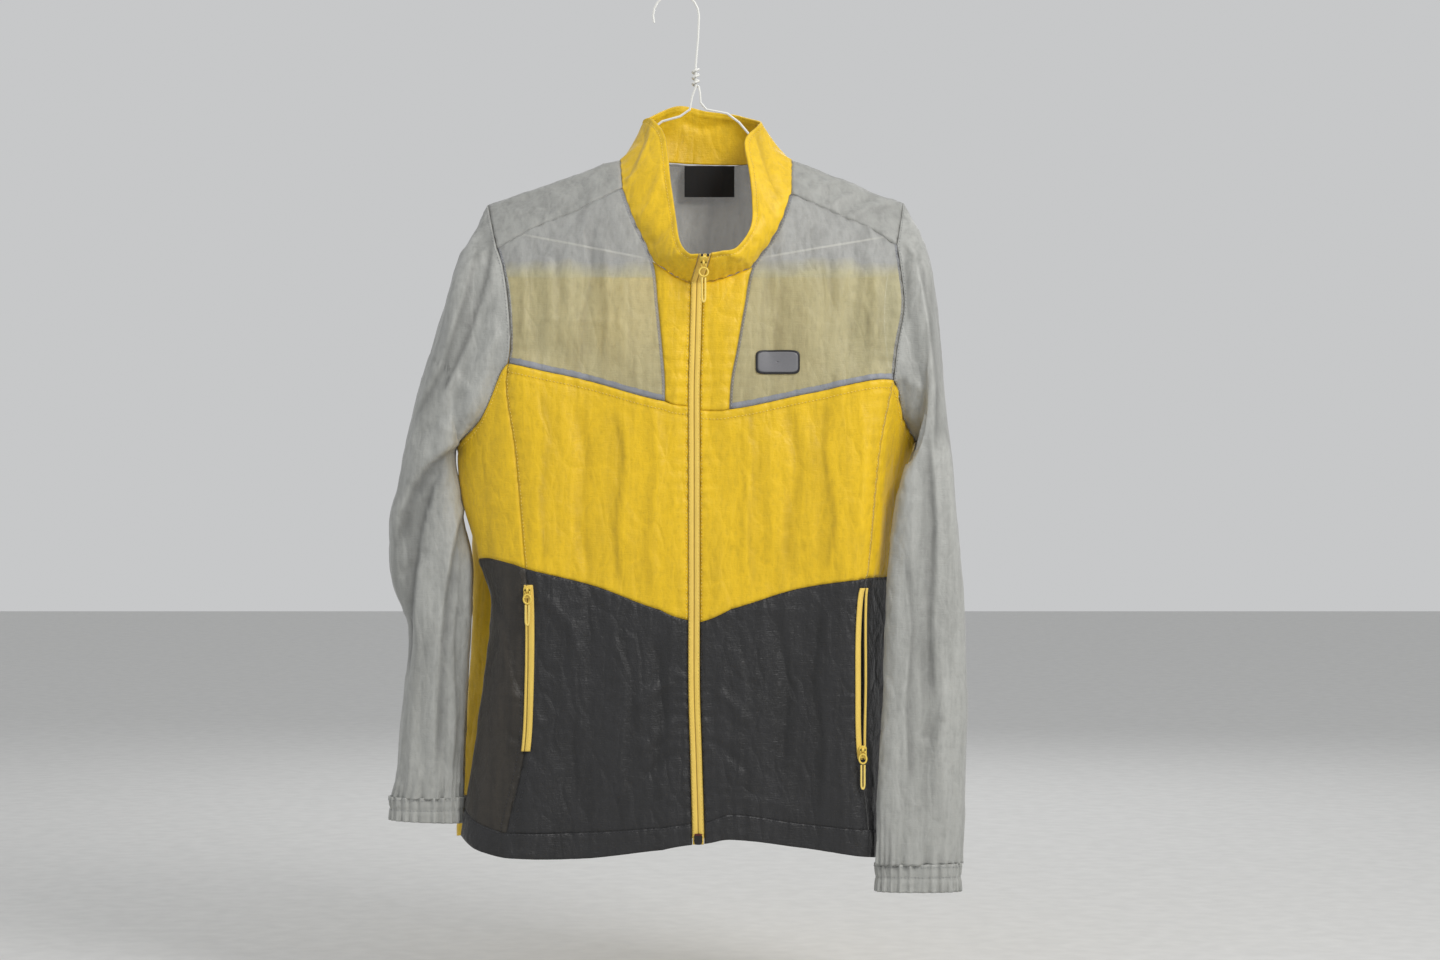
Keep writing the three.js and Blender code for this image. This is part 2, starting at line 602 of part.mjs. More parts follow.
// Front panels
function chest(name, side) {
  const sign = side === 'left' ? 1 : -1;
  const seamPoint = (share) => {
    const { rightArm, rightNeck, leftNeck, leftArm } = YOKE_SPANS.seam;
    const x = side === 'left' ? lerp(leftNeck, leftArm, share) : lerp(rightNeck, rightArm, share);
    return new THREE.Vector2(x, shoulderSeamZ(x));
  };
  const half = SEAM_GAP / 2;
  const point = (s, t) => {
    const column = sign * lerp(2, 4, s);
    const topZ = seamPoint(s).y - half;
    const bottomZ = chestZ(column) + half;
    const wedgeShare = (topZ - wedgeTop(sign * 2)) / (topZ - bottomZ);
    const knee = lerp(wedgeShare, CHEST_UPPER, s);
    const lower = clamp((t - CHEST_UPPER) / (1 - CHEST_UPPER), 0, 1);
    const share = t < CHEST_UPPER ? (t / CHEST_UPPER) * knee : lerp(knee, 1, lower);
    const z = lerp(topZ, bottomZ, share);
    const inner = lines[`${side}Wedge`](z) + sign * half;
    const outer = lines[`${side}Princess`](z) - sign * half;
    const x = lerp(inner, outer, s);
    const straight = seamPoint(s).x + sign * half * (1 - 2 * s);
    const blended = lerp(straight, x, Math.max(smooth(t, 0, 0.35), Math.abs(2 * s - 1) ** 6));
    const y = lerp(frontY(blended, z), bodyPoint(column, z).y, smooth(t, CHEST_JOINS, 1));
    return new THREE.Vector3(blended, y, z);
  };
  add(name, sheet(point, 4 * FRONT_STEPS, CHEST_ROWS, [-WALL, 0], () => new THREE.Vector3(0, -1, 0)), GREY);
}
chest('chest_left', 'left');
chest('chest_right', 'right');
panel('wedge_left', C.zipEdgeLeft, C.wedgeLeft, wedgeTop, chestZ, WEDGE_ROWS, YELLOW);
panel('wedge_right', -C.wedgeLeft, -C.zipEdgeLeft, wedgeTop, chestZ, WEDGE_ROWS, YELLOW);
panel('mid_front_left', C.zipEdgeLeft, C.princessLeft, chestZ, waistZ, MID_ROWS, YELLOW);
panel('mid_front_right', -C.princessLeft, -C.zipEdgeLeft, chestZ, waistZ, MID_ROWS, YELLOW);
panel('mid_side_left', C.princessLeft, C.sideLeft, chestZ, waistZ, MID_ROWS, YELLOW);
panel('mid_side_right', C.sideRight, C.princessRight, chestZ, waistZ, MID_ROWS, YELLOW);

// Lower fronts and sides meet along the pocket zips
const WALL_LIFTS = [-WALL, 0];
const OPEN_FRONT = [CHARCOAL, WALL_LIFTS, (z) => [0, pocketSlit(z)]];
const OPEN_SIDE = [CHARCOAL, WALL_LIFTS, (z) => [pocketSlit(z), 0]];
panel('lower_front_left', C.zipEdgeLeft, C.princessLeft, waistZ, stitchZ, LOWER_ROWS, ...OPEN_FRONT);
panel('lower_front_right', -C.princessLeft, -C.zipEdgeLeft, waistZ, stitchZ, LOWER_ROWS, CHARCOAL);
panel('lower_side_left', C.princessLeft, C.sideLeft, waistZ, stitchZ, LOWER_ROWS, ...OPEN_SIDE);
panel('lower_side_right', C.sideRight, C.princessRight, waistZ, stitchZ, LOWER_ROWS, CHARCOAL);

// Hem casing
const HEM_LIFTS = [-WALL - 0.4, 0.4];
panel('hem_left', C.zipEdgeLeft, C.sideLeft, stitchZ, hemZ, 1, CHARCOAL, HEM_LIFTS);
panel('hem_right', C.sideRight, C.zipEdgeRight, stitchZ, hemZ, 1, CHARCOAL, HEM_LIFTS);
panel('hem_back', C.sideLeft, C.sideRight, stitchZ, hemZ, 1, YELLOW, HEM_LIFTS);

// Back below the yoke; its sides follow the armholes and then the side seams
const BACK_ROWS = ARM_ROWS + MID_ROWS + LOWER_ROWS;
const BACK_ARM_END = -385;
function backRowZ(column, t) {
  const row = t * BACK_ROWS;
  const half = SEAM_GAP / 2;
  const chestLine = chestZ(C.sideLeft);
  if (row <= ARM_ROWS) return lerp(BACK_SEAM_Z - half, chestLine, row / ARM_ROWS);
  if (row <= ARM_ROWS + MID_ROWS) return lerp(chestLine, waistZ(column), (row - ARM_ROWS) / MID_ROWS);
  return lerp(waistZ(column), stitchZ(column) + half, (row - ARM_ROWS - MID_ROWS) / LOWER_ROWS);
}
const backStops = columnStops(C.sideLeft, C.sideRight);
function backPoint(s, t) {
  const middle = columnAt(backStops, s);
  const z = backRowZ(middle, t);
  const open = 1 - smooth(BACK_ARM_END - z, 0, BACK_ARM_END - chestZ(C.sideLeft));
  const half = SEAM_GAP / 2;
  const left = C.sideLeft + open + half / columnLength(C.sideLeft + open, z);
  const right = C.sideRight - open - half / columnLength(C.sideRight - open, z);
  const share = (middle - C.sideLeft) / (C.sideRight - C.sideLeft);
  return bodyPoint(lerp(left, right, share), z);
}
add('back', sheet(backPoint, backStops.length - 1, BACK_ROWS, WALL_LIFTS, awayFromBody), YELLOW);

// Yoke: forward shoulder seams, over the wire and down to the back seam
const YOKE_SHOULDER_COLUMNS = 8;
const YOKE_NECK_COLUMNS = 12;
const YOKE_FRONT_ROWS = 3;
const YOKE_BACK_ROWS = 6;
const yokeColumns = 2 * YOKE_SHOULDER_COLUMNS + YOKE_NECK_COLUMNS;
const neck = ['x', 'y', 'z'].map((axis) => track(BACK_NECK, axis, 'along'));
const backNeck = (along) => new THREE.Vector3(...neck.map((value) => value(along)));

// Where a yoke column stands on one of its three lines
function yokeX(line, s) {
  const span = YOKE_SPANS[line];
  const half = SEAM_GAP / 2;
  const place = s * yokeColumns;
  const neckEnd = YOKE_SHOULDER_COLUMNS + YOKE_NECK_COLUMNS;
  if (place <= YOKE_SHOULDER_COLUMNS) {
    return lerp(span.rightArm + half, span.rightNeck - half, place / YOKE_SHOULDER_COLUMNS);
  }
  if (place <= neckEnd) {
    const share = (place - YOKE_SHOULDER_COLUMNS) / YOKE_NECK_COLUMNS;
    return lerp(span.rightNeck - half, span.leftNeck + half, share);
  }
  return lerp(span.leftNeck + half, span.leftArm - half, (place - neckEnd) / YOKE_SHOULDER_COLUMNS);
}

function yokePoint(s, t) {
  const rows = YOKE_FRONT_ROWS + YOKE_BACK_ROWS;
  const ridge = YOKE_FRONT_ROWS / rows;
  const half = SEAM_GAP / 2;
  if (t < ridge) {
    const share = t / ridge;
    const x = lerp(yokeX('seam', s), yokeX('ridge', s), share);
    const seam = shoulderSeamZ(yokeX('seam', s)) + half;
    const z = lerp(seam, shoulderZ(yokeX('ridge', s)), share);
    return new THREE.Vector3(x, Math.min(frontY(x, z), 0), z);
  }
  const share = (t - ridge) / (1 - ridge);
  const place = s * yokeColumns;
  const inNeck = place > YOKE_SHOULDER_COLUMNS && place < YOKE_SHOULDER_COLUMNS + YOKE_NECK_COLUMNS;
  const seam = backNeck((place - YOKE_SHOULDER_COLUMNS) / YOKE_NECK_COLUMNS);
  const topX = inNeck ? seam.x : yokeX('ridge', s);
  const topZ = inNeck ? seam.z : shoulderZ(topX);
  const topY = inNeck ? seam.y : 0;
  const z = lerp(topZ, BACK_SEAM_Z + half, share);
  const x = lerp(topX, yokeX('back', s), share);
  const hang = backY(x, z) - backY(topX, topZ);
  return new THREE.Vector3(x, lerp(topY + hang, backY(x, z), smooth(share, 0, 0.8)), z);
}

const yokeHole = (j, i) => {
  const neck = i >= YOKE_SHOULDER_COLUMNS && i < YOKE_SHOULDER_COLUMNS + YOKE_NECK_COLUMNS;
  return neck && j < YOKE_FRONT_ROWS;
};
const awayFromShoulder = (point) => new THREE.Vector3(0, point.y, 30);
add(
  'yoke',
  sheet(yokePoint, yokeColumns, YOKE_FRONT_ROWS + YOKE_BACK_ROWS, [-WALL, 0], awayFromShoulder, yokeHole),
  GREY,
);

// Closed seam round the neck, from the zip round the wearer's left side, by share of its length
const SEAM = YOKE_SPANS.seam;
const RIDGE = YOKE_SPANS.ridge;
const seamStart = { left: shoulderSeamZ(SEAM.leftNeck), right: shoulderSeamZ(SEAM.rightNeck) };
const ridgeZ = backNeck(0).z;
const wedgeSide = (side, t) => frontPlace(lines[`${side}Wedge`], lerp(NECK_FRONT[side], seamStart[side], t));
const yokeEnd = (side, t) => {
  const x = lerp(SEAM[`${side}Neck`], RIDGE[`${side}Neck`], t);
  return frontPlaceOn(x, lerp(seamStart[side], ridgeZ, t));
};
const NECK_PIECES = [
  { columns: FRONT_STEPS, at: (t) => bodyPoint(lerp(1, 2, t), wedgeTop(lerp(1, 2, t))) },
  { columns: CHEST_ROWS * CHEST_UPPER, at: (t) => wedgeSide('left', t) },
  { columns: YOKE_FRONT_ROWS, at: (t) => yokeEnd('left', t) },
  { columns: YOKE_NECK_COLUMNS, at: (t) => backNeck(1 - t) },
  { columns: YOKE_FRONT_ROWS, at: (t) => yokeEnd('right', 1 - t) },
  { columns: CHEST_ROWS * CHEST_UPPER, at: (t) => wedgeSide('right', 1 - t) },
  { columns: FRONT_STEPS, at: (t) => bodyPoint(lerp(-2, -1, t), wedgeTop(lerp(-2, -1, t))) },
];
const COLLAR_COLUMNS = NECK_PIECES.reduce((sum, piece) => sum + piece.columns, 0);
function frontPlaceOn(x, z) {
  return new THREE.Vector3(x, frontY(x, z), z);
}
function frontPlace(line, z) {
  return frontPlaceOn(line(z), z);
}
function neckSeam(along) {
  let place = along * COLLAR_COLUMNS;
  for (const piece of NECK_PIECES) {
    if (place <= piece.columns + 1e-6) return piece.at(place / piece.columns);
    place -= piece.columns;
  }
  return NECK_PIECES[NECK_PIECES.length - 1].at(1);
}

// Stand collar from the neck seam to its top edge
const COLLAR_ROWS = 3;
const COLLAR_BULGE = 3;
const COLLAR_START = { up: 0.6, in: 0.3 };
const NECK_CENTRE = new THREE.Vector3(31, -20, -200);
const collarTop = ['x', 'y', 'z'].map((axis) => track(COLLAR_TOP, axis, 'along'));
function collarPoint(s, t) {
  const along = clamp(s, 0, 1);
  const seam = neckSeam(along);
  const top = new THREE.Vector3(...collarTop.map((value) => value(along)));
  const rise = top.clone().sub(seam).normalize();
  const inward = NECK_CENTRE.clone().sub(seam).setZ(0).normalize();
  const start = seam.addScaledVector(rise, COLLAR_START.up).addScaledVector(inward, COLLAR_START.in);
  const bulge = COLLAR_BULGE * Math.sin(Math.PI * clamp(t, 0, 1)) * Math.min(1, 12 * along, 12 * (1 - along));
  return start.lerp(top, t).addScaledVector(inward, -bulge);
}
const awayFromNeck = (point) => point.clone().sub(NECK_CENTRE).setZ(0);
add('collar', sheet(collarPoint, COLLAR_COLUMNS, COLLAR_ROWS, [-COLLAR_WALL, 0], awayFromNeck), YELLOW);

// Armhole, from the shoulder tip down the front to the underarm and up the back
const RING = 28;
function armhole(side, i) {
  const isLeft = side === 'left';
  const out = isLeft ? 1 : -1;
  const span = (line) => (isLeft ? YOKE_SPANS[line].leftArm : YOKE_SPANS[line].rightArm);
  const place = (column, z) => bodyPoint(out > 0 ? column : COLUMNS - column, z);
  const chest = (column) => chestZ(out > 0 ? column : COLUMNS - column);
  const princess = isLeft ? lines.leftPrincess : lines.rightPrincess;
  const low = chest(4);
  if (i <= 3) {
    const x = lerp(span('ridge'), span('seam'), i / 3);
    const z = lerp(shoulderZ(span('ridge')), shoulderSeamZ(span('seam')), i / 3);
    return new THREE.Vector3(x, frontY(x, z), z);
  }
  if (i <= 8) return frontPlace(princess, lerp(shoulderSeamZ(span('seam')), low, (i - 3) / 5));
  if (i <= 14) return place(lerp(4, 6, (i - 8) / 6), chest(lerp(4, 6, (i - 8) / 6)));
  if (i <= 17) return place(lerp(6, 7, (i - 14) / 3), chest(lerp(6, 7, (i - 14) / 3)));
  if (i <= 22) {
    const z = lerp(chest(7), BACK_SEAM_Z, (i - 17) / 5);
    const open = 1 - smooth(BACK_ARM_END - z, 0, BACK_ARM_END - chest(7));
    return place(7 + open, z);
  }
  const x = lerp(span('back'), span('ridge'), (i - 22) / 6);
  const z = lerp(BACK_SEAM_Z, shoulderZ(span('ridge')), (i - 22) / 6);
  return new THREE.Vector3(x, backY(x, z), z);
}

// One flattened section of a sleeve
const SECTION_POWER = 0.8;
function sleeveSection(row, i, half) {
  const angle = (2 * Math.PI * i) / RING;
  const flat = (value) => Math.sign(value) * Math.abs(value) ** SECTION_POWER;
  const a = flat(Math.cos(angle)) / 2;
  const outer = new THREE.Vector3(row.outX, row.outY, row.outZ);
  const inner = new THREE.Vector3(row.inX, row.inY, row.inZ);
  const point = inner.lerp(outer, 0.5 + a);
  point.y -= half * flat(Math.sin(angle));
  return point;
}

// Smooth skin through key rings, with closed walls
const SLEEVE_ROWS = 22;
function tube(name, keys, rows, finish, relief, { sewn = false, plainInside = false } = {}) {
  const count = keys[0].length;
  const threads = [];
  for (let i = 0; i < count; i++) {
    threads.push(new THREE.CatmullRomCurve3(keys.map((ring) => ring[i]), false, 'centripetal'));
  }
  const at = (i, t) => threads[(i + count) % count].getPoint(clamp(t, 0, 1));
  const outer = [];
  const inner = [];
  const step = 0.01;
  for (let j = 0; j <= rows; j++) {
    const t = j / rows;
    const centre = new THREE.Vector3();
    for (let i = 0; i < count; i++) centre.add(at(i, t));
    centre.divideScalar(count);
    const rowOuter = [];
    const rowInner = [];
    for (let i = 0; i < count; i++) {
      const point = at(i, t);
      const around = at(i + 1, t).sub(at(i - 1, t));
      const along = at(i, t + step).sub(at(i, t - step));
      const normal = around.cross(along).normalize();
      if (normal.dot(point.clone().sub(centre)) < 0) normal.negate();
      if (sewn && j === 0) normal.setX(0).normalize();
      const lift = relief(i, t, point);
      rowInner.push(point.clone().addScaledVector(normal, plainInside ? -WALL : lift - WALL));
      rowOuter.push(point.clone().addScaledVector(normal, lift));
    }
    outer.push(rowOuter);
    inner.push(rowInner);
  }
  add(name, wallSolid(outer, inner, true), finish);
}

// Folds of the sleeves' fronts as lines across and up; a step lies over the cloth below it
const SLEEVE_FOLDS = {
  right: [
    { step: true, height: 5, width: 34, line: [[-168, -392], [-201, -440], [-223, -459], [-268, -503]] },
    { step: true, height: 3.5, width: 26, line: [[-218, -461], [-248, -524], [-258, -546], [-287, -580]] },
    { step: true, height: 3, width: 16, line: [[-212, -500], [-231, -613], [-236, -690], [-241, -790]] },
    { step: false, height: 3, width: 12, line: [[-250, -530], [-257, -578], [-262, -613], [-265, -660]] },
    { step: false, height: 2.6, width: 12, line: [[-196, -262], [-214, -320], [-236, -400]] },
    { step: false, height: -2.2, width: 12, line: [[-186, -300], [-200, -360], [-226, -430]] },
  ],
  left: [
    { step: false, height: 2.6, width: 14, line: [[240, -290], [250, -350], [262, -420]] },
    { step: false, height: 2.8, width: 14, line: [[236, -420], [244, -520], [246, -640]] },
    { step: false, height: -2.4, width: 12, line: [[258, -440], [262, -560], [262, -680]] },
    { step: false, height: 2.4, width: 12, line: [[228, -560], [232, -680], [230, -800]] },
  ],
};
const FOLD_FADE = 0.18;

// Nearest place on a line of places: how far, on which side and at what share
function nearestOn(line, x, z) {
  let best = { off: Infinity, side: 1, share: 0 };
  for (let k = 0; k < line.length - 1; k++) {
    const [ax, az] = line[k];
    const dx = line[k + 1][0] - ax;
    const dz = line[k + 1][1] - az;
    const t = clamp(((x - ax) * dx + (z - az) * dz) / (dx * dx + dz * dz), 0, 1);
    const off = Math.hypot(x - ax - t * dx, z - az - t * dz);
    const side = Math.sign((x - ax) * dz - (z - az) * dx);
    if (off < best.off) best = { off, side, share: (k + t) / (line.length - 1) };
  }
  return best;
}

// How far a sleeve's folds push its front out, at a share of its length
function sleeveRelief(side, i, t, point) {
  const front = Math.max(Math.sin((2 * Math.PI * i) / RING), 0) ** 0.5;
  let relief = 0;
  for (const { step, height, width, line } of SLEEVE_FOLDS[side]) {
    const { off, side: above, share } = nearestOn(line, point.x, point.z);
    const fade = smooth(share, 0, FOLD_FADE) * (1 - smooth(share, 1 - FOLD_FADE, 1));
    const signed = off * above;
    const rise = step ? smooth(signed, -width / 8, width / 8) * Math.exp(-Math.max(signed, 0) / width) : 0;
    relief += height * fade * (step ? rise : Math.exp(-((off / width) ** 2)));
  }
  return relief * front * smooth(t, 0, 0.1) * (1 - smooth(t, 0.9, 1));
}

// Sleeves, sewn into the armholes
const ARMHOLE_GAP = { out: 0.8, up: 0.5 };
function sleeve(name, side, rows) {
  const out = side === 'left' ? 1 : -1;
  const first = [];
  for (let i = 0; i < RING; i++) {
    const point = armhole(side, i);
    point.x += out * ARMHOLE_GAP.out;
    if (i > 8 && i < 18) point.z += ARMHOLE_GAP.up;
    first.push(point);
  }
  const keys = [first];
  for (const row of rows) {
    const ring = [];
    for (let i = 0; i < RING; i++) ring.push(sleeveSection(row, i, row.half));
    keys.push(ring);
  }
  tube(name, keys, SLEEVE_ROWS, GREY, (i, t, point) => sleeveRelief(side, i, t, point), { sewn: true });
}
sleeve('sleeve_left', 'left', LEFT_SLEEVE);
sleeve('sleeve_right', 'right', RIGHT_SLEEVE);

// Cuffs, gathered by an elastic: raised outside, plain inside
const CUFF_POINTS = 3 * CUFF_GATHERS;
function cuff(name, { outX, inX, y, top, bottom, half, tilt }) {
  const rings = [top, bottom].map((z, k) => {
    const ring = [];
    for (let i = 0; i < CUFF_POINTS; i++) {
      const angle = (2 * Math.PI * i) / CUFF_POINTS;
      const flat = (value) => Math.sign(value) * Math.abs(value) ** SECTION_POWER;
      const x = lerp(outX, inX, 0.5) + ((outX - inX) / 2) * flat(Math.cos(angle));
      ring.push(new THREE.Vector3(x, y - half * flat(Math.sin(angle)), z + tilt * k * Math.cos(angle)));
    }
    return ring;
  });
  const gathers = (i) => CUFF_RELIEF * (0.5 + 0.5 * Math.cos((2 * Math.PI * i) / 3));
  tube(name, rings, 1, GREY, gathers, { plainInside: true });
}
cuff('cuff_left', CUFFS.left);
cuff('cuff_right', CUFFS.right);

// Main zip: two tapes from the collar's top edge to the hem
const ZIP_COLLAR_SHARE = 0.06;
const ZIP_ROWS = 16;
const ZIP_TOP = new THREE.Vector3(30, -90.4, -270.4);
function zipTape(name, out) {
  const point = (s, t) => {
    const across = out * (SEAM_GAP / 2 + s * (ZIP_TAPE - SEAM_GAP / 2));
    const low = Math.min(hemZ(0), -855) + 0.5;
    const seamZ = wedgeTop(0);
    const z = lerp(seamZ, low, (t - ZIP_COLLAR_SHARE) / (1 - ZIP_COLLAR_SHARE));
    if (t >= ZIP_COLLAR_SHARE) {
      const x = lines.zip(z) + across;
      return new THREE.Vector3(x, frontY(lines.zip(z), z), z);
    }
    const foot = new THREE.Vector3(lines.zip(seamZ) + across, frontY(lines.zip(seamZ), seamZ), seamZ);
    const head = ZIP_TOP.clone();
    head.x += across;
    return head.lerp(foot, t / ZIP_COLLAR_SHARE);
  };
  add(name, sheet(point, 1, ZIP_ROWS, [-1.2, 0], () => new THREE.Vector3(0, -1, -0.3)), TAPE);
}
zipTape('zip_tape_left', 1);
zipTape('zip_tape_right', -1);

// Pocket zips lie over the princess seams
const POCKET_ROWS = 8;
const TAPE_LIFTS = [0.85, 1.6];
function pocketStrip(name, side, from, to, lifts, finish, top, bottom, rows) {
  const column = side === 'left' ? C.princessLeft : C.princessRight;
  const point = (s, t) => {
    const z = lerp(top, bottom, t);
    const slit = side === 'left' ? pocketSlit(z) : 0;
    const low = from + Math.sign(from + to) * slit;
    const high = to + Math.sign(from + to) * slit;
    return bodyPoint(column + lerp(low, high, s) / columnLength(column, z), z);
  };
  add(name, sheet(point, 1, rows, lifts, awayFromBody), finish);
}
for (const side of ['left', 'right']) {
  const { top, bottom } = POCKETS[side];
  const inner = SEAM_GAP / 2;
  const rest = [TAPE_LIFTS, TAPE, top, bottom, POCKET_ROWS];
  pocketStrip(`pocket_tape_a_${side}`, side, inner, POCKET_TAPE, ...rest);
  pocketStrip(`pocket_tape_b_${side}`, side, -POCKET_TAPE, -inner, ...rest);
}

// Neck label and chest badge, both blank
const LABEL = { from: 0.42, to: 0.6, top: -170, bottom: -202, gap: 0.05, thickness: 0.8 };
add(
  'neck_label',
  sheet(
    (s, t) => {
      const along = lerp(LABEL.from, LABEL.to, s);
      const seam = backNeck(along);
      return new THREE.Vector3(seam.x, seam.y - WALL - LABEL.gap, lerp(LABEL.top, LABEL.bottom, t));
    },
    4,
    2,
    [0, LABEL.thickness],
    () => new THREE.Vector3(0, -1, 0),
  ),
  DARK,
);

const BADGE = { left: 80, right: 124, top: -364, bottom: -388, lifts: [0.5, 1.6] };
add(
  'badge',
  sheet(
    (s, t) => {
      const x = lerp(BADGE.left, BADGE.right, s);
      const z = lerp(BADGE.top, BADGE.bottom, t);
      return new THREE.Vector3(x, frontY(x, z), z);
    },
    5,
    2,
    BADGE.lifts,
    () => new THREE.Vector3(0, -1, 0),
  ),
  BADGE_GREY,
);

// Pocket bag behind the open left pocket zip
const BAG = { half: 12, lifts: [-3, -WALL - 0.45] };
pocketStrip('pocket_bag_left', 'left', -BAG.half, BAG.half, BAG.lifts, DARK, -596, -790, 10);

// Zip slider: a block with rounded corners, extruded forward from its tapes
function sliderShape(width, height) {
  const round = width / 3;
  const shape = new THREE.Shape();
  shape.moveTo(-width / 2 + round, -height / 2);
  shape.lineTo(width / 2 - round, -height / 2);
  shape.quadraticCurveTo(width / 2, -height / 2, width / 2, -height / 2 + round);
  shape.lineTo(width / 2, height / 2 - round);
  shape.quadraticCurveTo(width / 2, height / 2, width / 2 - round, height / 2);
  shape.lineTo(-width / 2 + round, height / 2);
  shape.quadraticCurveTo(-width / 2, height / 2, -width / 2, height / 2 - round);
  shape.lineTo(-width / 2, -height / 2 + round);
  shape.quadraticCurveTo(-width / 2, -height / 2, -width / 2 + round, -height / 2);
  return shape;
}

// Stands a flat shape upright, its thickness growing forward from a place
function plate(shape, thickness, place, tilt = 0) {
  const geometry = new THREE.ExtrudeGeometry(shape, { depth: thickness, bevelEnabled: false, curveSegments: 3 });
  geometry.rotateX(Math.PI / 2);
  geometry.rotateX(tilt);
  geometry.translate(place.x, place.y, place.z);
  return geometry;
}

// Round wire or cord along hand-chosen places; steps follow the places, so tight bends keep theirs
class Route extends THREE.CatmullRomCurve3 {
  getPointAt(u, target) {
    return this.getPoint(u, target);
  }

  getTangentAt(u, target) {
    return this.getTangent(u, target);
  }
}
function wire(places, diameter, sides, stepsEach) {
  const shape = new THREE.Shape();
  for (let i = 0; i < sides; i++) {
    const angle = (2 * Math.PI * i) / sides;
    const x = (diameter / 2) * Math.cos(angle);
    const y = (diameter / 2) * Math.sin(angle);
    if (i === 0) shape.moveTo(x, y);
    else shape.lineTo(x, y);
  }
  shape.closePath();
  const route = new Route(places, false, 'centripetal');
  const steps = (places.length - 1) * stepsEach;
  return new THREE.ExtrudeGeometry(shape, { steps, extrudePath: route, bevelEnabled: false });
}

// Sliders with their crowns, pull tabs and cords. A tab's eye hangs on the crown and swings on it.
const SLIDER = { width: 7.6, height: 12, thickness: 3.4 };
const CROWN = { width: 1.8, inner: 1.2, outer: 2.3, gap: 0.1 };
const TAB = { width: 6, height: 15, thickness: 1.4, above: 0.7, eyeWidth: 2.8, eyeHeight: 3.2, lift: 1.5 };
const CORD = 2;
const CORD_SPREAD = 1.6;
const PULLS = [
  { name: 'zip', x: 28.6, z: -275.2, y: -85.95, tilt: 0.847, hingeUp: 0, cord: 24 },
  { name: 'pocket_left', x: 186, z: -762, lift: 3.9, tilt: 0, hingeUp: 2, cord: 24 },
  { name: 'pocket_right', x: -146, z: -604, lift: 3, tilt: 0, hingeUp: 2, cord: 20 },
];

// Crown: a bow over the tab's bar, its feet on the slider's face
function crown(tilt, axis) {
  const foot = CROWN.gap - TAB.lift;
  const shape = new THREE.Shape();
  shape.moveTo(foot, -CROWN.outer);
  shape.lineTo(0, -CROWN.outer);
  shape.absarc(0, 0, CROWN.outer, -Math.PI / 2, Math.PI / 2, false);
  shape.lineTo(foot, CROWN.outer);
  shape.lineTo(foot, CROWN.inner);
  shape.lineTo(0, CROWN.inner);
  shape.absarc(0, 0, CROWN.inner, Math.PI / 2, -Math.PI / 2, true);
  shape.lineTo(foot, -CROWN.inner);
  shape.closePath();
  const settings = { depth: CROWN.width, bevelEnabled: false, curveSegments: 6 };
  const geometry = new THREE.ExtrudeGeometry(shape, settings);
  geometry.translate(0, 0, -CROWN.width / 2);
  geometry.rotateX(Math.PI / 2);
  geometry.rotateZ(-Math.PI / 2);
  geometry.rotateX(tilt);
  geometry.translate(axis.x, axis.y, axis.z);
  return geometry;
}

for (const pull of PULLS) {
  const back = pull.y ?? frontY(pull.x, pull.z) - pull.lift;
  const place = new THREE.Vector3(pull.x, back, pull.z);
  const block = sliderShape(SLIDER.width, SLIDER.height);
  add(`${pull.name}_slider`, plate(block, SLIDER.thickness, place, pull.tilt), DARK);
  const reach = SLIDER.thickness + TAB.lift;
  const axis = place.clone();
  axis.y -= reach * Math.cos(pull.tilt);
  axis.z += pull.hingeUp - reach * Math.sin(pull.tilt);
  add(`${pull.name}_crown`, crown(pull.tilt, axis), DARK);
  const tab = sliderShape(TAB.width, TAB.height);
  const eyeTop = TAB.height / 2 - 2 * TAB.above;
  const eyeSide = TAB.eyeWidth / 2;
  const eye = new THREE.Path();
  eye.moveTo(-eyeSide, eyeTop);
  eye.lineTo(eyeSide, eyeTop);
  eye.lineTo(eyeSide, eyeTop - TAB.eyeHeight);
  eye.lineTo(-eyeSide, eyeTop - TAB.eyeHeight);
  eye.closePath();
  tab.holes.push(eye);
  const tabCentre = axis.z + TAB.above - TAB.height / 2;
  const tabPlace = new THREE.Vector3(pull.x, axis.y + TAB.thickness / 2, tabCentre);
  add(`${pull.name}_pull`, plate(tab, TAB.thickness, tabPlace), DARK);
  const cordTop = tabCentre - TAB.height / 2 - SEAM_GAP;
  const cordPlace = (x, down) => new THREE.Vector3(pull.x + x, axis.y, cordTop - down);
  const places = [
    cordPlace(-CORD_SPREAD, 0),
    cordPlace(-CORD_SPREAD, 0.4 * pull.cord),
    cordPlace(-CORD_SPREAD, 0.8 * pull.cord),
    cordPlace(-0.8 * CORD_SPREAD, 0.95 * pull.cord),
    cordPlace(0, pull.cord),
    cordPlace(0.8 * CORD_SPREAD, 0.95 * pull.cord),
    cordPlace(CORD_SPREAD, 0.8 * pull.cord),
    cordPlace(CORD_SPREAD, 0.4 * pull.cord),
    cordPlace(CORD_SPREAD, 0),
  ];
  add(`${pull.name}_cord`, wire(places, CORD, 8, 1), DARK);
}

// Box and pin at the foot of the main zip
const BOX = { width: 8, height: 11, thickness: 2.4, z: -849 };
const boxPlace = new THREE.Vector3(lines.zip(BOX.z), frontY(lines.zip(BOX.z), BOX.z) - 0.4, BOX.z);
add('zip_box', plate(sliderShape(BOX.width, BOX.height), BOX.thickness, boxPlace), DARK);

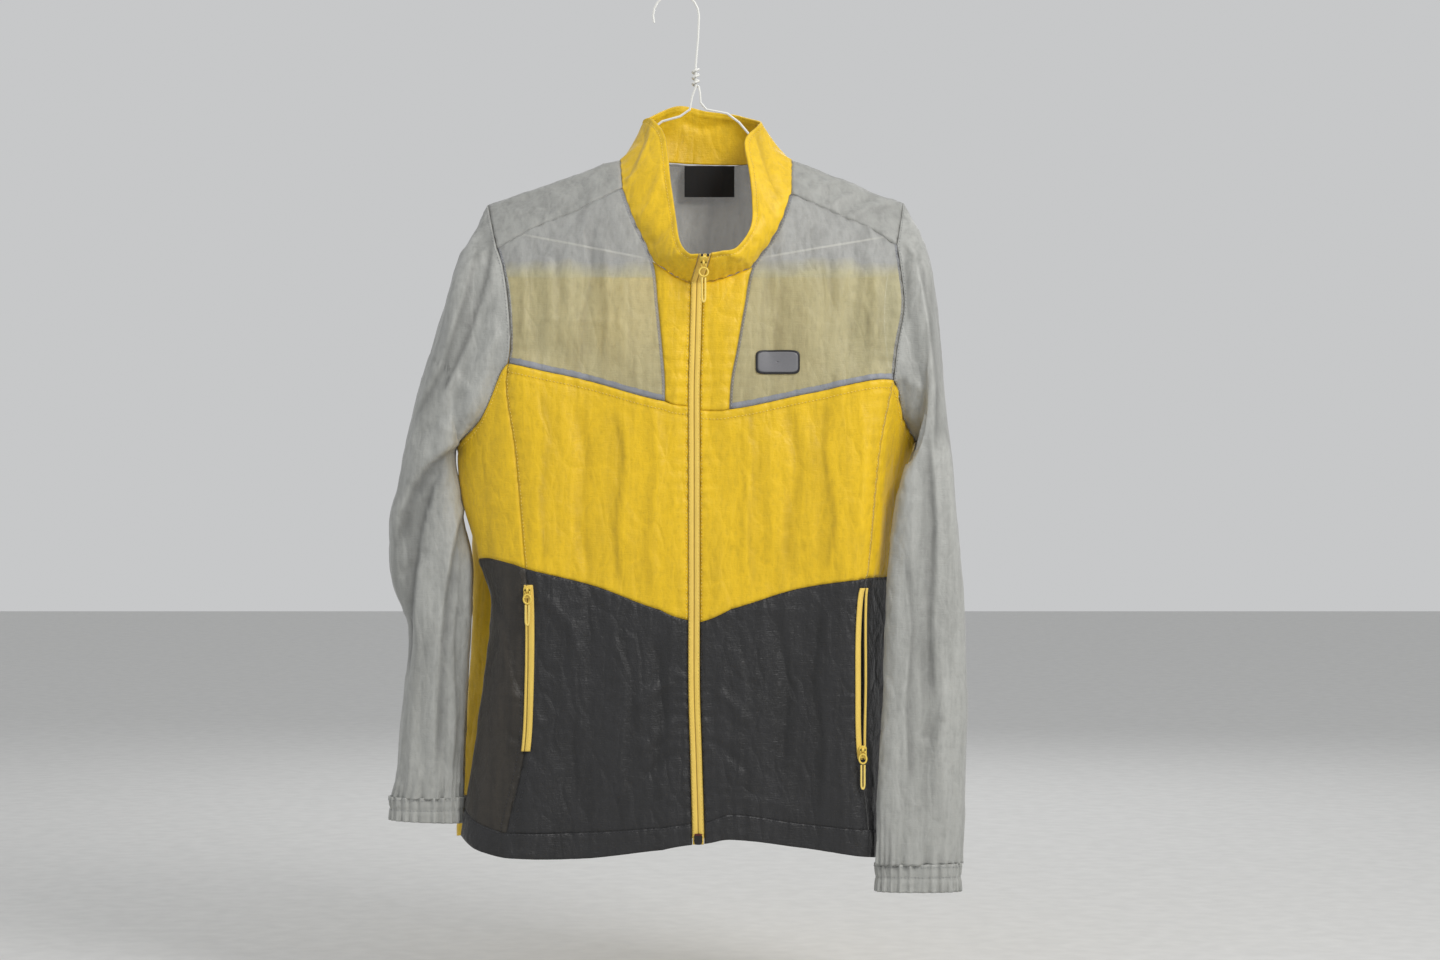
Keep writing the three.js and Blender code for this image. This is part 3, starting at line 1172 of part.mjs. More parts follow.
// Hanger: one wire from the hook's tip round the hook, down the neck, round the arms and up the twist
function hangerRoute() {
  const places = [];
  const put = (x, y, z) => places.push(new THREE.Vector3(x, y, z));
  const centreZ = WIRE / 2 - HOOK.radius;
  for (let angle = HOOK.tipDegrees; angle >= 0; angle -= HOOK.stepDegrees) {
    const a = THREE.MathUtils.degToRad(angle);
    put(HOOK.radius * Math.cos(a), 0, centreZ + HOOK.radius * Math.sin(a));
  }
  for (const place of HOOK_NECK) put(place.x, 0, place.z);
  put(NECK_X, 0, TWIST.top + 4);
  put(NECK_X, 0, TWIST.bottom);
  for (const place of RIGHT_ARM) put(place.x, 0, place.z);
  for (const x of ARM_STEPS) put(x, 0, shoulderZ(x) - WIRE_CLEARANCE);
  for (const place of BAR) put(place.x, 0, place.z);
  for (const x of LEFT_ARM_STEPS) put(x, 0, shoulderZ(x) - WIRE_CLEARANCE);
  for (const place of LEFT_ARM) put(place.x, 0, place.z);
  const stepsPerTurn = 8;
  for (let k = 0; k <= TWIST.turns * stepsPerTurn; k++) {
    const a = (2 * Math.PI * k) / stepsPerTurn;
    const z = lerp(TWIST.bottom, TWIST.top, k / (TWIST.turns * stepsPerTurn));
    put(NECK_X + TWIST.radius * Math.cos(a), TWIST.radius * Math.sin(a), z);
  }
  return places;
}
add('hanger', wire(hangerRoute(), WIRE, 6, 1), WHITE);

export default group;
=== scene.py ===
"""Looks of a windbreaker jacket on a wire hanger."""

import math

import bpy
import numpy as np
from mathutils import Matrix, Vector


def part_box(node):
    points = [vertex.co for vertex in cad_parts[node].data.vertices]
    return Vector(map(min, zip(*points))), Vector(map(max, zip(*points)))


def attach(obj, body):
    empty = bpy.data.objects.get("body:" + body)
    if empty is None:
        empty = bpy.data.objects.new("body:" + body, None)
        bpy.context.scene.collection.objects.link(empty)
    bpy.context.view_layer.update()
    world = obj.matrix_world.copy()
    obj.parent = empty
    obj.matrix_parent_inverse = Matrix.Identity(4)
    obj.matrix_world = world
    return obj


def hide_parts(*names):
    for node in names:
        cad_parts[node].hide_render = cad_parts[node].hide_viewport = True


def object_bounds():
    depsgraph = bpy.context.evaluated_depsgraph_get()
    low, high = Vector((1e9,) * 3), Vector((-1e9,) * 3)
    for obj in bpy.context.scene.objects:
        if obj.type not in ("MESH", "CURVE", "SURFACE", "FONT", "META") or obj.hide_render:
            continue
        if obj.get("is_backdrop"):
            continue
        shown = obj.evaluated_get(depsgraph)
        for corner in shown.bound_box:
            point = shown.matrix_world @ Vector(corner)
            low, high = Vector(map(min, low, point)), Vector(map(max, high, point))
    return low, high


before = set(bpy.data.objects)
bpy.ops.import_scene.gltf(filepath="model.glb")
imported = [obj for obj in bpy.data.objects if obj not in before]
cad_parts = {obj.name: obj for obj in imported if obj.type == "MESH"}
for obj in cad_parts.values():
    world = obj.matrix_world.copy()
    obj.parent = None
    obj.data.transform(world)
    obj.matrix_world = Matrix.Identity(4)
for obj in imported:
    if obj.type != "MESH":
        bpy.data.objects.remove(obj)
cad_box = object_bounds()
MM = 0.001

# Camera at the photo's angle: level, on the jacket's front
camera_data = bpy.data.cameras.new("camera")
camera_data.lens = 75
camera_data.sensor_width = 36
camera = bpy.data.objects.new("camera", camera_data)
camera.location = (0.0447, -3.045, -0.493)
camera.rotation_euler = (math.pi / 2, 0, 0)
bpy.context.scene.collection.objects.link(camera)
bpy.context.scene.camera = camera


def hermite(a, b, ma, mb, t):
    """Smooth curve from a to b, with the slopes ma and mb at its ends."""
    return a + t * (ma + t * (3 * (b - a) - 2 * ma - mb + t * (ma + mb - 2 * (b - a))))


# Shape of the cloth, in millimetres: tables of the part's own lines, with named columns
class Table:
    def __init__(self, names, rows):
        self.rows = rows
        self.names = names.split()

    def column(self, name):
        return np.array([row[self.names.index(name)] for row in self.rows], float)

    def track(self, name, along="z"):
        """Smooth line through one column, as a function of another."""
        x, y = self.column(along), self.column(name)
        if x[-1] < x[0]:
            x, y = x[::-1], y[::-1]
        n = len(x)
        low, high = np.maximum(np.arange(n) - 1, 0), np.minimum(np.arange(n) + 1, n - 1)
        slope = (y[high] - y[low]) / (x[high] - x[low])

        def at(place):
            place = np.clip(np.asarray(place, float), x[0], x[-1])
            i = np.clip(np.searchsorted(x, place, side="right") - 1, 0, n - 2)
            span = x[i + 1] - x[i]
            return hermite(y[i], y[i + 1], slope[i] * span, slope[i + 1] * span, (place - x[i]) / span)

        return at


SHOULDER = Table("x z", [
    (-200, -219),
    (-191, -214),
    (-152, -200),
    (-101, -183),
    (-58, -168),
    (31, -160),
    (118, -168),
    (193, -199),
    (231, -212),
    (244, -219),
])
FRONT_LINES = Table("z rightPrincess rightWedge zip leftWedge leftPrincess", [
    (-196, -200, -55, 24, 118, 216),
    (-232, -188, -42, 23, 107, 218),
    (-257, -180, -30, 23, 94, 222),
    (-281, -172, -21, 22, 77, 225),
    (-320, -166, -17, 21, 69, 228),
    (-360, -164, -13, 20, 62, 221),
    (-400, -168, -10, 19, 55, 216),
    (-463, -159, -12, 19, 54, 204),
    (-577, -149, -14, 19, 56, 193),
    (-610, -146, -14, 19, 56, 187),
    (-700, -146, -14, 19, 56, 186),
    (-768, -150, -13, 21, 56, 186),
    (-842, -167, -12, 23, 56, 193),
    (-874, -170, -12, 23, 56, 194),
])
RIGHT_SIDE = Table("z turnX turnY edgeX edgeY seamX seamY backX backY", [
    (-196, -206, -8, -210, 2, -206, 10, -196, 14),
    (-260, -194, -24, -206, -2, -202, 12, -178, 32),
    (-330, -184, -46, -208, -14, -205, 12, -170, 44),
    (-400, -190, -52, -214, -20, -209, 8, -184, 42),
    (-457, -198, -50, -219, -24, -208, 6, -202, 38),
    (-504, -194, -52, -216, -28, -198, 2, -208, 32),
    (-560, -184, -56, -201, -36, -182, -4, -209, 26),
    (-616, -171, -62, -184, -44, -168, -10, -208, 22),
    (-667, -174, -62, -188, -44, -171, -10, -210, 22),
    (-721, -180, -62, -195, -44, -177, -10, -214, 23),
    (-774, -187, -62, -203, -44, -184, -9, -218, 24),
    (-842, -198, -61, -214, -42, -195, -8, -223, 25),
    (-874, -200, -61, -216, -42, -198, -8, -224, 25),
])
LEFT_SIDE = Table("z turnX turnY edgeX edgeY seamX seamY backX backY", [
    (-196, 240, -8, 246, 0, 242, 8, 232, 12),
    (-257, 233, -22, 242, -2, 238, 12, 220, 30),
    (-330, 236, -44, 242, -12, 239, 14, 214, 42),
    (-400, 231, -48, 243, -16, 240, 10, 222, 40),
    (-457, 223, -46, 241, -14, 238, 10, 228, 34),
    (-504, 216, -45, 238, -10, 234, 12, 226, 34),
    (-616, 209, -44, 233, -6, 229, 14, 222, 34),
    (-842, 207, -43, 230, -6, 226, 14, 218, 35),
    (-874, 207, -43, 230, -6, 226, 14, 218, 35),
])
ROUND_SEAMS = Table("column chest waist stitch hem", [
    (-4, -377, -581, -843, -868),
    (-3, -394, -598, -843, -869),
    (-2, -415, -622, -838, -860),
    (-1, -420, -632, -834, -855),
    (0, -422, -634, -834, -855),
    (1, -424, -634, -833, -854),
    (2, -423, -621, -825, -850),
    (3, -407, -601, -834, -858),
    (4, -394, -591, -840, -867),
    (5, -430, -590, -842, -868),
    (6, -455, -589, -842, -867),
    (7, -452, -588, -841, -866),
    (8, -400, -588, -840, -865),
    (10, -400, -588, -838, -863),
    (12, -400, -580, -832, -857),
    (13, -452, -576, -822, -848),
    (14, -457, -572, -822, -848),
    (15, -434, -572, -834, -860),
    (16, -377, -581, -843, -868),
    (17, -394, -598, -843, -869),
    (18, -415, -622, -838, -860),
    (19, -420, -632, -834, -855),
    (20, -422, -634, -834, -855),
    (21, -424, -634, -833, -854),
])
SHOULDER_SEAM = Table("x z", [
    (-179, -261),
    (-136, -237),
    (-100, -222),
    (-54, -199),
    (-40, -192),
    (103, -199),
    (117, -205),
    (154, -222),
    (192, -239),
    (222, -257),
])
YOKE_SPANS = Table("line rightArm rightNeck leftNeck leftArm", [
    ("seam", -179, -54, 117, 222),
    ("ridge", -191, -57, 118, 231),
    ("back", -176, -62, 124, 217),
])
BACK_NECK = Table("along x y z", [
    (0, -57, 0, -168),
    (0.15, -47, 22, -164),
    (0.35, -10, 40, -167),
    (0.5, 31, 44, -169),
    (0.65, 72, 41, -169),
    (0.85, 108, 22, -164),
    (1, 118, 0, -168),
])
COLLAR_TOP = Table("along x y z", [
    (0, 36.4, -90, -270),
    (0.06, 46, -88, -268),
    (0.12, 62, -82, -263),
    (0.17, 75, -68, -242),
    (0.235, 77, -50, -212),
    (0.28, 74, -34, -180),
    (0.32, 70, -16, -150),
    (0.36, 84, -2, -133),
    (0.4, 85, 12, -127),
    (0.45, 62, 32, -119),
    (0.5, 31, 40, -114),
    (0.55, 0, 36, -109),
    (0.6, -33, 12, -126),
    (0.64, -26, -2, -126),
    (0.68, -13, -18, -142),
    (0.72, -8, -34, -168),
    (0.765, -5, -50, -196),
    (0.82, 1, -66, -234),
    (0.88, 5, -80, -258),
    (0.94, 14, -88, -270),
    (1, 23.6, -90, -271),
])
RIGHT_SLEEVE = Table("outX outY outZ inX inY inZ half", [
    (-212, -4, -258, -222, -16, -459, 53),
    (-237, -6, -329, -223, -18, -467, 48),
    (-256, -9, -392, -223, -20, -478, 42),
    (-268, -12, -442, -221, -21, -492, 37),
    (-275, -15, -495, -219, -22, -513, 33),
    (-284, -17, -535, -213, -22, -542, 31),
    (-288, -18, -572, -206, -22, -572, 30),
    (-284, -20, -600, -206, -22, -602, 28),
    (-270, -21, -640, -207, -22, -640, 27),
    (-272, -22, -696, -209, -22, -696, 26),
    (-277, -22, -750, -211, -22, -750, 26),
    (-280, -22, -790, -212, -22, -790, 26),
    (-284, -22, -812, -213, -22, -812, 24),
])
LEFT_SLEEVE = Table("outX outY outZ inX inY inZ half", [
    (250, -8, -250, 248, -22, -455, 50),
    (262, -18, -310, 245, -38, -461, 41),
    (268, -30, -380, 237, -51, -471, 33),
    (273, -42, -440, 228, -60, -488, 27),
    (279, -52, -505, 219, -63, -520, 23),
    (285, -58, -573, 213, -66, -575, 20),
    (288, -60, -640, 210, -67, -640, 19),
    (289, -62, -703, 207, -68, -703, 18),
    (289, -62, -765, 203, -69, -765, 18),
    (288, -61, -820, 200, -70, -820, 18),
    (284, -60, -874, 200, -70, -874, 17),
])
FOLDS = Table("side x top bottom depth width lean", [
    ("front", -128, -255, -370, 4, 13, 0.1),
    ("front", -88, -240, -400, -4, 15, 0.05),
    ("front", -52, -260, -400, 3, 12, 0),
    ("front", 96, -270, -400, -4, 14, 0),
    ("front", 142, -240, -385, 4, 15, -0.1),
    ("front", 184, -260, -380, -4, 13, -0.1),
    ("front", -112, -430, -600, 4, 18, 0.05),
    ("front", -60, -440, -640, -4, 22, 0),
    ("front", 88, -440, -620, -4, 22, 0),
    ("front", 140, -420, -600, 4, 18, -0.05),
    ("front", -104, -600, -874, -5, 20, 0.03),
    ("front", -46, -650, -874, 4, 18, 0),
    ("front", 96, -640, -874, 4, 20, 0),
    ("front", 146, -620, -874, -5, 20, -0.03),
    ("back", -120, -300, -874, 6, 22, 0.02),
    ("back", -60, -320, -874, -6, 24, 0),
    ("back", 8, -300, -874, 5, 22, 0),
    ("back", 78, -330, -874, -6, 26, 0),
    ("back", 146, -310, -874, 6, 22, -0.02),
])

SEAM_GAP = 0.36
ZIP_TAPE = 5.6
POCKET_TAPE = 4.6
BACK_SEAM_Z = -284
HEM_Z = -874
ZIP_COLUMN_X = 21.0
# Fronts and back fall away from the shoulders to these depths, over these heights
FRONT_DEPTH, FRONT_FALL, BACK_DEPTH, BACK_FALL = 70, 64, 52, 46
# Shares of a soft fold's length where it has risen and where it starts to fade
FOLD_RISEN, FOLD_FADES = 0.35, 0.7
COLUMNS = 20
POCKET_ENDS = {"left": (-600, -770), "right": (-597, -762)}
# The back opens from the armholes between the side seams at this height and the chest seam
BACK_OPENS_Z = -385
NO_LENGTH = 1e-9
# Lifts of each shell's inside and outside along its normals
CLOTH_LIFTS, HEM_LIFTS, COLLAR_LIFTS, CUFF_LIFTS = (-0.7, 0), (-1.6, 0.4), (-1.9, 0), (-1.4, 0.2)
TAPE_LIFTS, POCKET_TAPE_LIFTS, RIM_LIFTS, FACE_LIFTS = (-1.2, 0), (0.9, 1.5), (0.4, 1.4), (1.4, 1.75)


def lerp(a, b, t):
    return a + (b - a) * t


def smooth(x, low, high):
    t = np.clip((x - low) / (high - low), 0, 1)
    return t * t * (3 - 2 * t)


def shares(across, down):
    """Grid of shares across a piece and down it."""
    return np.meshgrid(np.linspace(0, 1, across), np.linspace(0, 1, down))


def unit(v):
    return v / (np.linalg.norm(v, axis=-1, keepdims=True) + NO_LENGTH)


shoulder_z = SHOULDER.track("z", "x")
shoulder_seam_z = SHOULDER_SEAM.track("z", "x")
round_z = {name: ROUND_SEAMS.track(name, "column") for name in ROUND_SEAMS.names[1:]}
line = {name: FRONT_LINES.track(name) for name in FRONT_LINES.names[1:]}
flank = {
    side: {name: rows.track(name) for name in rows.names[1:]}
    for side, rows in (("right", RIGHT_SIDE), ("left", LEFT_SIDE))
}
back_neck = [BACK_NECK.track(axis, "along") for axis in "xyz"]
collar_top = [COLLAR_TOP.track(axis, "along") for axis in "xyz"]


def fold_depth(side, x, z):
    depth = 0
    for fold_side, middle, top, bottom, height, width, lean in FOLDS.rows:
        if fold_side == side:
            across = (x - middle - lean * (top - z)) / width
            length = top - bottom
            down = smooth(top - z, 0, FOLD_RISEN * length)
            opened = 1 if bottom <= HEM_Z else 1 - smooth(top - z, FOLD_FADES * length, length)
            depth = depth + height * np.exp(-across * across) * down * opened
    return depth


def front_y(x, z):
    below = np.maximum(shoulder_z(x) - z, 0)
    return -FRONT_DEPTH * (1 - np.exp(-below / FRONT_FALL)) - fold_depth("front", x, z)


def back_y(x, z):
    below = np.maximum(shoulder_z(x) - z, 0)
    return BACK_DEPTH * (1 - np.exp(-below / BACK_FALL)) + fold_depth("back", x, z)


def section(z):
    """The ring columns' places in plan at each height, as an array of columns by 2."""
    zip_x = line["zip"](z)
    left, right = flank["left"], flank["right"]

    def front(x):
        return [x, front_y(x, z)]

    def back(x):
        return [x, back_y(x, z)]

    def side(rows):
        return [[rows[f"{k}X"](z), rows[f"{k}Y"](z)] for k in ("turn", "edge", "seam", "back")]

    lw, lp, rw, rp = (line[k](z) for k in ("leftWedge", "leftPrincess", "rightWedge", "rightPrincess"))
    edge = ZIP_TAPE + SEAM_GAP
    ring = [front(zip_x), front(zip_x + edge), front(lw), front((lw + lp) / 2), front(lp), *side(left)]
    ring += [back((zip_x + left["backX"](z)) / 2), back(zip_x), back((zip_x + right["backX"](z)) / 2)]
    ring += [*side(right)[::-1], front(rp), front((rw + rp) / 2), front(rw), front(zip_x - edge)]
    return np.array(ring)


def body_point(column, z):
    """Places on the body by ring column and height, for arrays of both."""
    column, z = np.broadcast_arrays(np.asarray(column, float), np.asarray(z, float))
    shape = z.shape
    column, z = column.ravel(), z.ravel()
    ring = section(z)
    turned = np.mod(column, COLUMNS)
    i = np.minimum(np.floor(turned).astype(int), COLUMNS - 1)
    t = (turned - i)[:, None]
    who = np.arange(len(z))
    p0, a, b, p3 = (ring[np.mod(i + step, COLUMNS), :, who] for step in (-1, 0, 1, 2))
    spans = ((p0, a), (a, b), (b, p3))
    before, here, after = (np.linalg.norm(q - p, axis=1)[:, None] + 0.001 for p, q in spans)
    rise = (b - a) / here
    ma = here * lerp((a - p0) / before, rise, before / (before + here))
    mb = here * lerp(rise, (p3 - b) / after, here / (here + after))
    return np.column_stack([hermite(a, b, ma, mb, t), z]).reshape(*shape, 3)


def column_length(column, z):
    step = 0.02
    return np.linalg.norm(body_point(column - step, z) - body_point(column + step, z), axis=-1) / (2 * step)


# Noise and creases that give the cloth its relief
# Large numbers that scramble a cell's place and a seed
SCRAMBLE_X, SCRAMBLE_Y, SCRAMBLE_Z = 73856093, 19349663, 83492791
SCRAMBLE_SEED, SCRAMBLE_ALL = 2654435, 1274126177


def hashed(cell, seed):
    """An even spread of numbers between -1 and 1, one for each cell."""
    x, y, z = np.moveaxis(cell, -1, 0)
    a = (x * SCRAMBLE_X) ^ (y * SCRAMBLE_Y) ^ (z * SCRAMBLE_Z) ^ (seed * SCRAMBLE_SEED)
    a = (a ^ (a >> 13)) * SCRAMBLE_ALL & 0x7FFFFFFF
    return (a ^ (a >> 16)) % 65536 / 32768 - 1


def noise(points, size, seed):
    """Smooth noise between -1 and 1 over places, with cells of the given sizes in x, y and z."""
    p = points / np.array(size)
    cell = np.floor(p).astype(np.int64)
    f = p - cell
    f = f * f * f * (f * (6 * f - 15) + 10)
    total = 0
    for corner in range(8):
        step = np.array([corner & 1, corner >> 1 & 1, corner >> 2 & 1])
        total = total + np.prod(np.where(step, f, 1 - f), axis=-1) * hashed(cell + step, seed)
    return total


def to_line(x, z, places):
    """Distance from a line of places, signed by side, and the share along it."""
    best = np.full(np.shape(x), np.inf)
    side = np.ones(np.shape(x))
    share = np.zeros(np.shape(x))
    places = np.array(places, float)
    lengths = np.linalg.norm(np.diff(places, axis=0), axis=1)
    done = np.concatenate([[0], np.cumsum(lengths)])
    for k, length in enumerate(lengths):
        (ax, az), (bx, bz) = places[k], places[k + 1]
        dx, dz = bx - ax, bz - az
        t = np.clip(((x - ax) * dx + (z - az) * dz) / length**2, 0, 1)
        off = np.hypot(x - ax - t * dx, z - az - t * dz)
        nearer = off < best
        turn = np.sign((x - ax) * dz - (z - az) * dx)
        best = np.where(nearer, off, best)
        side = np.where(nearer, turn, side)
        share = np.where(nearer, (done[k] + t * length) / done[-1], share)
    return best, side, share


# A crease's height fades over these shares of its length, and its shade over the second pair
RISEN, FADES, SHADE_RISEN, SHADE_FADES = 0.18, 0.8, 0.12, 0.86
# Half the width of a step's edge: at least the first, or this share of the crease's width
STEP_EDGE, STEP_SHARE, STEP_REACH = 2.8, 0.12, 5
SHADE_EDGE, SHADE_SHARE, FULL_SHADE = 2.4, 0.42, 3.4


def creases(rows, x, z):
    """Relief of listed creases: ridges, and steps where one fold lies over another."""
    relief = np.zeros(np.shape(x))
    for kind, height, width, places in rows:
        off, side, share = to_line(x, z, places)
        fade = smooth(share, 0, RISEN) * (1 - smooth(share, FADES, 1))
        if kind == "step":
            signed = off * side
            half = max(STEP_EDGE, STEP_SHARE * width)
            fall = smooth(signed, -half, half) * np.exp(-np.maximum(signed, 0) / width)
            relief = relief + height * fade * fall * (off < STEP_REACH * width)
        else:
            relief = relief + height * fade * np.exp(-((off / width) ** 2))
    return relief


def crease_shade(rows, x, z):
    """Depth of shade on the low side of each step, where one fold lies over another."""
    shade = np.zeros(np.shape(x))
    for kind, height, width, places in rows:
        if kind == "step":
            off, side, share = to_line(x, z, places)
            fade = smooth(share, 0, SHADE_RISEN) * (1 - smooth(share, SHADE_FADES, 1))
            low = off * side * np.sign(height)
            under = 1 - smooth(low, -SHADE_EDGE, SHADE_EDGE)
            under = under * np.exp(np.minimum(low, 0) / (SHADE_SHARE * width))
            shade = np.maximum(shade, fade * under * min(1, abs(height) / FULL_SHADE))
    return shade


def cloth_relief(points, seed, amount=1.0):
    """Soft upright waves, sharp folds and small crinkles of thin nylon: heights, and sizes of the cells."""
    waves = 1.1 * noise(points, (26, 26, 190), seed) + 0.7 * noise(points, (12, 12, 90), seed + 1)
    fold = 1.2 * np.maximum(0, 1 - 7 * np.abs(noise(points, (30, 30, 60), seed + 4)))
    patches = 0.5 + 0.5 * noise(points, (60, 60, 60), seed + 5)
    small = 0.35 * noise(points, (6, 6, 11), seed + 2)
    return amount * (waves + fold * patches + small)


PUCKER_REACH, PUCKER_PITCH, PUCKER_DRIFT = 11, 13, 7


def pucker(distance, run, seed, height=0.9):
    """Small gathers that a seam pulls into the cloth beside it."""
    place = np.stack([run, 0 * run, 0 * run], axis=-1)
    uneven = run + PUCKER_DRIFT * noise(place, (40, 1, 1), seed)
    strength = 0.55 + 0.45 * noise(place, (55, 1, 1), seed + 1)
    wave = np.sin(2 * np.pi * uneven / PUCKER_PITCH)
    return height * strength * wave * np.exp(-np.abs(distance) / PUCKER_REACH)


# Thin shell from a grid of places
def grid_normals(points, closed):
    def gradient(axis):
        if closed and axis == 1:
            return np.roll(points, -1, 1) - np.roll(points, 1, 1)
        return np.gradient(points, axis=axis)

    return unit(np.cross(gradient(1), gradient(0)))


def arc(points, axis):
    """Lengths along a grid of places, from its first row or column."""
    step = np.linalg.norm(np.diff(points, axis=axis), axis=-1)
    zero = np.zeros_like(np.take(step, [0], axis=axis))
    return np.concatenate([zero, np.cumsum(step, axis=axis)], axis=axis)


def make_mesh(name, vertices, quads, material, smooth_shaded=True):
    mesh = bpy.data.meshes.new(name)
    corners = [tuple(int(k) for k in quad) for quad in quads]
    mesh.from_pydata([tuple(v) for v in np.asarray(vertices) * MM], [], corners)
    mesh.materials.append(material)
    mesh.polygons.foreach_set("use_smooth", [smooth_shaded] * len(mesh.polygons))
    mesh.update()
    obj = bpy.data.objects.new(name, mesh)
    bpy.context.scene.collection.objects.link(obj)
    return obj


# Each shell's outer places, normals and lengths, for the rows of stitches on it
surfaces = {}


def shell(name, points, relief, lifts, outward, material, slot, nodes,
          closed=False, keep=None, inside=None, shade=0):
    """Cloth of real thickness between two lifts along the normals, with measures for its finish."""
    normal = grid_normals(points, closed)
    facing = np.sign(np.sum(normal * outward, axis=-1, keepdims=True))
    normal = normal * np.where(facing == 0, 1, facing)
    outer = points + normal * (lifts[1] + relief)[..., None]
    inner = points + normal * (lifts[0] + relief)[..., None]
    rows, columns = points.shape[:2]
    wrap = columns if closed else columns - 1
    j, i = np.meshgrid(np.arange(rows - 1), np.arange(wrap), indexing="ij")
    use = np.ones(j.shape, bool) if keep is None else keep[: rows - 1, :wrap]
    a = j * columns + i
    b = j * columns + (i + 1) % columns
    top = np.stack([a, b, b + columns, a + columns], -1)[use]
    count = rows * columns
    edges = np.concatenate([top[:, [k, (k + 1) % 4]] for k in range(4)])
    _, index, times = np.unique(np.sort(edges, 1), axis=0, return_index=True, return_counts=True)
    rim = edges[index[times == 1]]
    wall = np.stack([rim[:, 1], rim[:, 0], rim[:, 0] + count, rim[:, 1] + count], -1)
    quads = np.concatenate([top, top[:, ::-1] + count, wall])
    vertices = np.concatenate([outer.reshape(-1, 3), inner.reshape(-1, 3)])
    used = np.unique(quads)
    renumber = np.zeros(len(vertices), int)
    renumber[used] = np.arange(len(used))
    obj = make_mesh(name, vertices[used], renumber[quads], material)
    if inside:
        obj.data.materials.append(inside)
        slots = np.zeros(len(quads), np.int32)
        slots[len(top) : 2 * len(top)] = 1
        obj.data.polygons.foreach_set("material_index", slots)
    across, along = arc(points, 1), arc(points, 0)
    measures = {
        "along": along,
        "to_side": np.minimum(across, across[:, -1:] - across),
        "to_bottom": along[-1:] - along,
        "relief": relief + 0 * across,
        "shade": shade + 0 * across,
    }
    for key, value in measures.items():
        layer = obj.data.attributes.new(key, "FLOAT", "POINT")
        both = np.concatenate([value.ravel(), value.ravel()])[used]
        layer.data.foreach_set("value", both.astype(np.float32))
    surfaces[name] = (outer, normal, across, along)
    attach(obj, "jacket")
    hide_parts(*nodes)
    return obj


def interpolated(at, run, values):
    return np.array([np.interp(at, run, values[:, axis]) for axis in range(3)])


def beside(name, edge, distance):
    """Places and normals on a piece of cloth at a distance from its top, bottom, start or end."""
    outer, normal, across, run = surfaces[name]
    if edge in ("start", "end"):
        outer, normal, run = np.swapaxes(outer, 0, 1), np.swapaxes(normal, 0, 1), across.T
    if edge in ("bottom", "end"):
        outer, normal, run = outer[::-1], normal[::-1], run[-1:] - run[::-1]
    columns = range(outer.shape[1])
    places = np.array([interpolated(distance, run[:, k], outer[:, k]) for k in columns])
    return places, np.array([interpolated(distance, run[:, k], normal[:, k]) for k in columns])


PITCH, STITCH, THREAD = 3.6, 2.7, 0.42


def stitches(name, rows, material):
    """One mesh of raised thread stitches along rows of places."""
    vertices, faces = [], []
    for places, out in rows:
        run = arc(places, 0)
        for start in np.arange(PITCH / 2, run[-1] - STITCH, PITCH):
            first, middle, last = (interpolated(start + d, run, places) for d in (0, STITCH / 2, STITCH))
            up = interpolated(start + STITCH / 2, run, out)
            side = unit(np.cross(last - first, up)) * THREAD
            middle = middle + up * THREAD
            base = len(vertices)
            lift = up * THREAD
            vertices += [first, last, middle + side, middle + lift, middle - side, middle - lift]
            for k in range(4):
                here, after = base + 2 + k, base + 2 + (k + 1) % 4
                faces += [(base, here, after), (base + 1, after, here)]
    obj = make_mesh(name, vertices, faces, material)
    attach(obj, "jacket")


# Finishes
def plug(tree, value, socket):
    if hasattr(value, "links"):
        tree.links.new(value, socket)
    else:
        socket.default_value = value


def node(tree, kind, inputs, **settings):
    """Output of a new node with the given inputs."""
    made = tree.nodes.new(kind)
    for key, value in settings.items():
        setattr(made, key, value)
    for key, value in inputs.items():
        plug(tree, value, made.inputs[key])
    return made.outputs[0]


def blank(name, roughness, sheen=0.0):
    material = bpy.data.materials.new(name)
    material.use_nodes = True
    tree = material.node_tree
    shader = tree.nodes["Principled BSDF"]
    shader.inputs["Roughness"].default_value = roughness
    shader.inputs["Sheen Weight"].default_value = sheen
    place = tree.nodes.new("ShaderNodeTexCoord").outputs["Object"]
    return material, tree, shader, place


def linear(*srgb):
    """Colour for a node from red, green and blue of 0 to 255."""
    return tuple(((c / 255 + 0.055) / 1.055) ** 2.4 if c > 10 else c / 255 / 12.92 for c in srgb) + (1,)


def maths(tree, operation, *values):
    return node(tree, "ShaderNodeMath", dict(enumerate(values)), operation=operation)


def measure(tree, name):
    made = tree.nodes.new("ShaderNodeAttribute")
    made.attribute_name = name
    return made.outputs["Fac"]


def mixed(tree, factor, a, b):
    made = tree.nodes.new("ShaderNodeMix")
    made.data_type = "RGBA"
    for key, value in ((0, factor), (6, a), (7, b)):
        plug(tree, value, made.inputs[key])
    return made.outputs[2]


def remap(tree, value, low, high, to_low=0.0, to_high=1.0):
    inputs = {"Value": value, "From Min": low, "From Max": high, "To Min": to_low, "To Max": to_high}
    return node(tree, "ShaderNodeMapRange", inputs, clamp=True)


def band(tree, value, low, high, soft):
    """1 where a measure is between low and high."""
    rise = remap(tree, value, low - soft, low + soft)
    return maths(tree, "MULTIPLY", rise, remap(tree, value, high + soft, high - soft))


def split(tree, place):
    made = tree.nodes.new("ShaderNodeSeparateXYZ")
    tree.links.new(place, made.inputs[0])
    return made.outputs


def stretched(tree, place, stretch):
    return node(tree, "ShaderNodeMapping", {"Vector": place, "Scale": stretch})


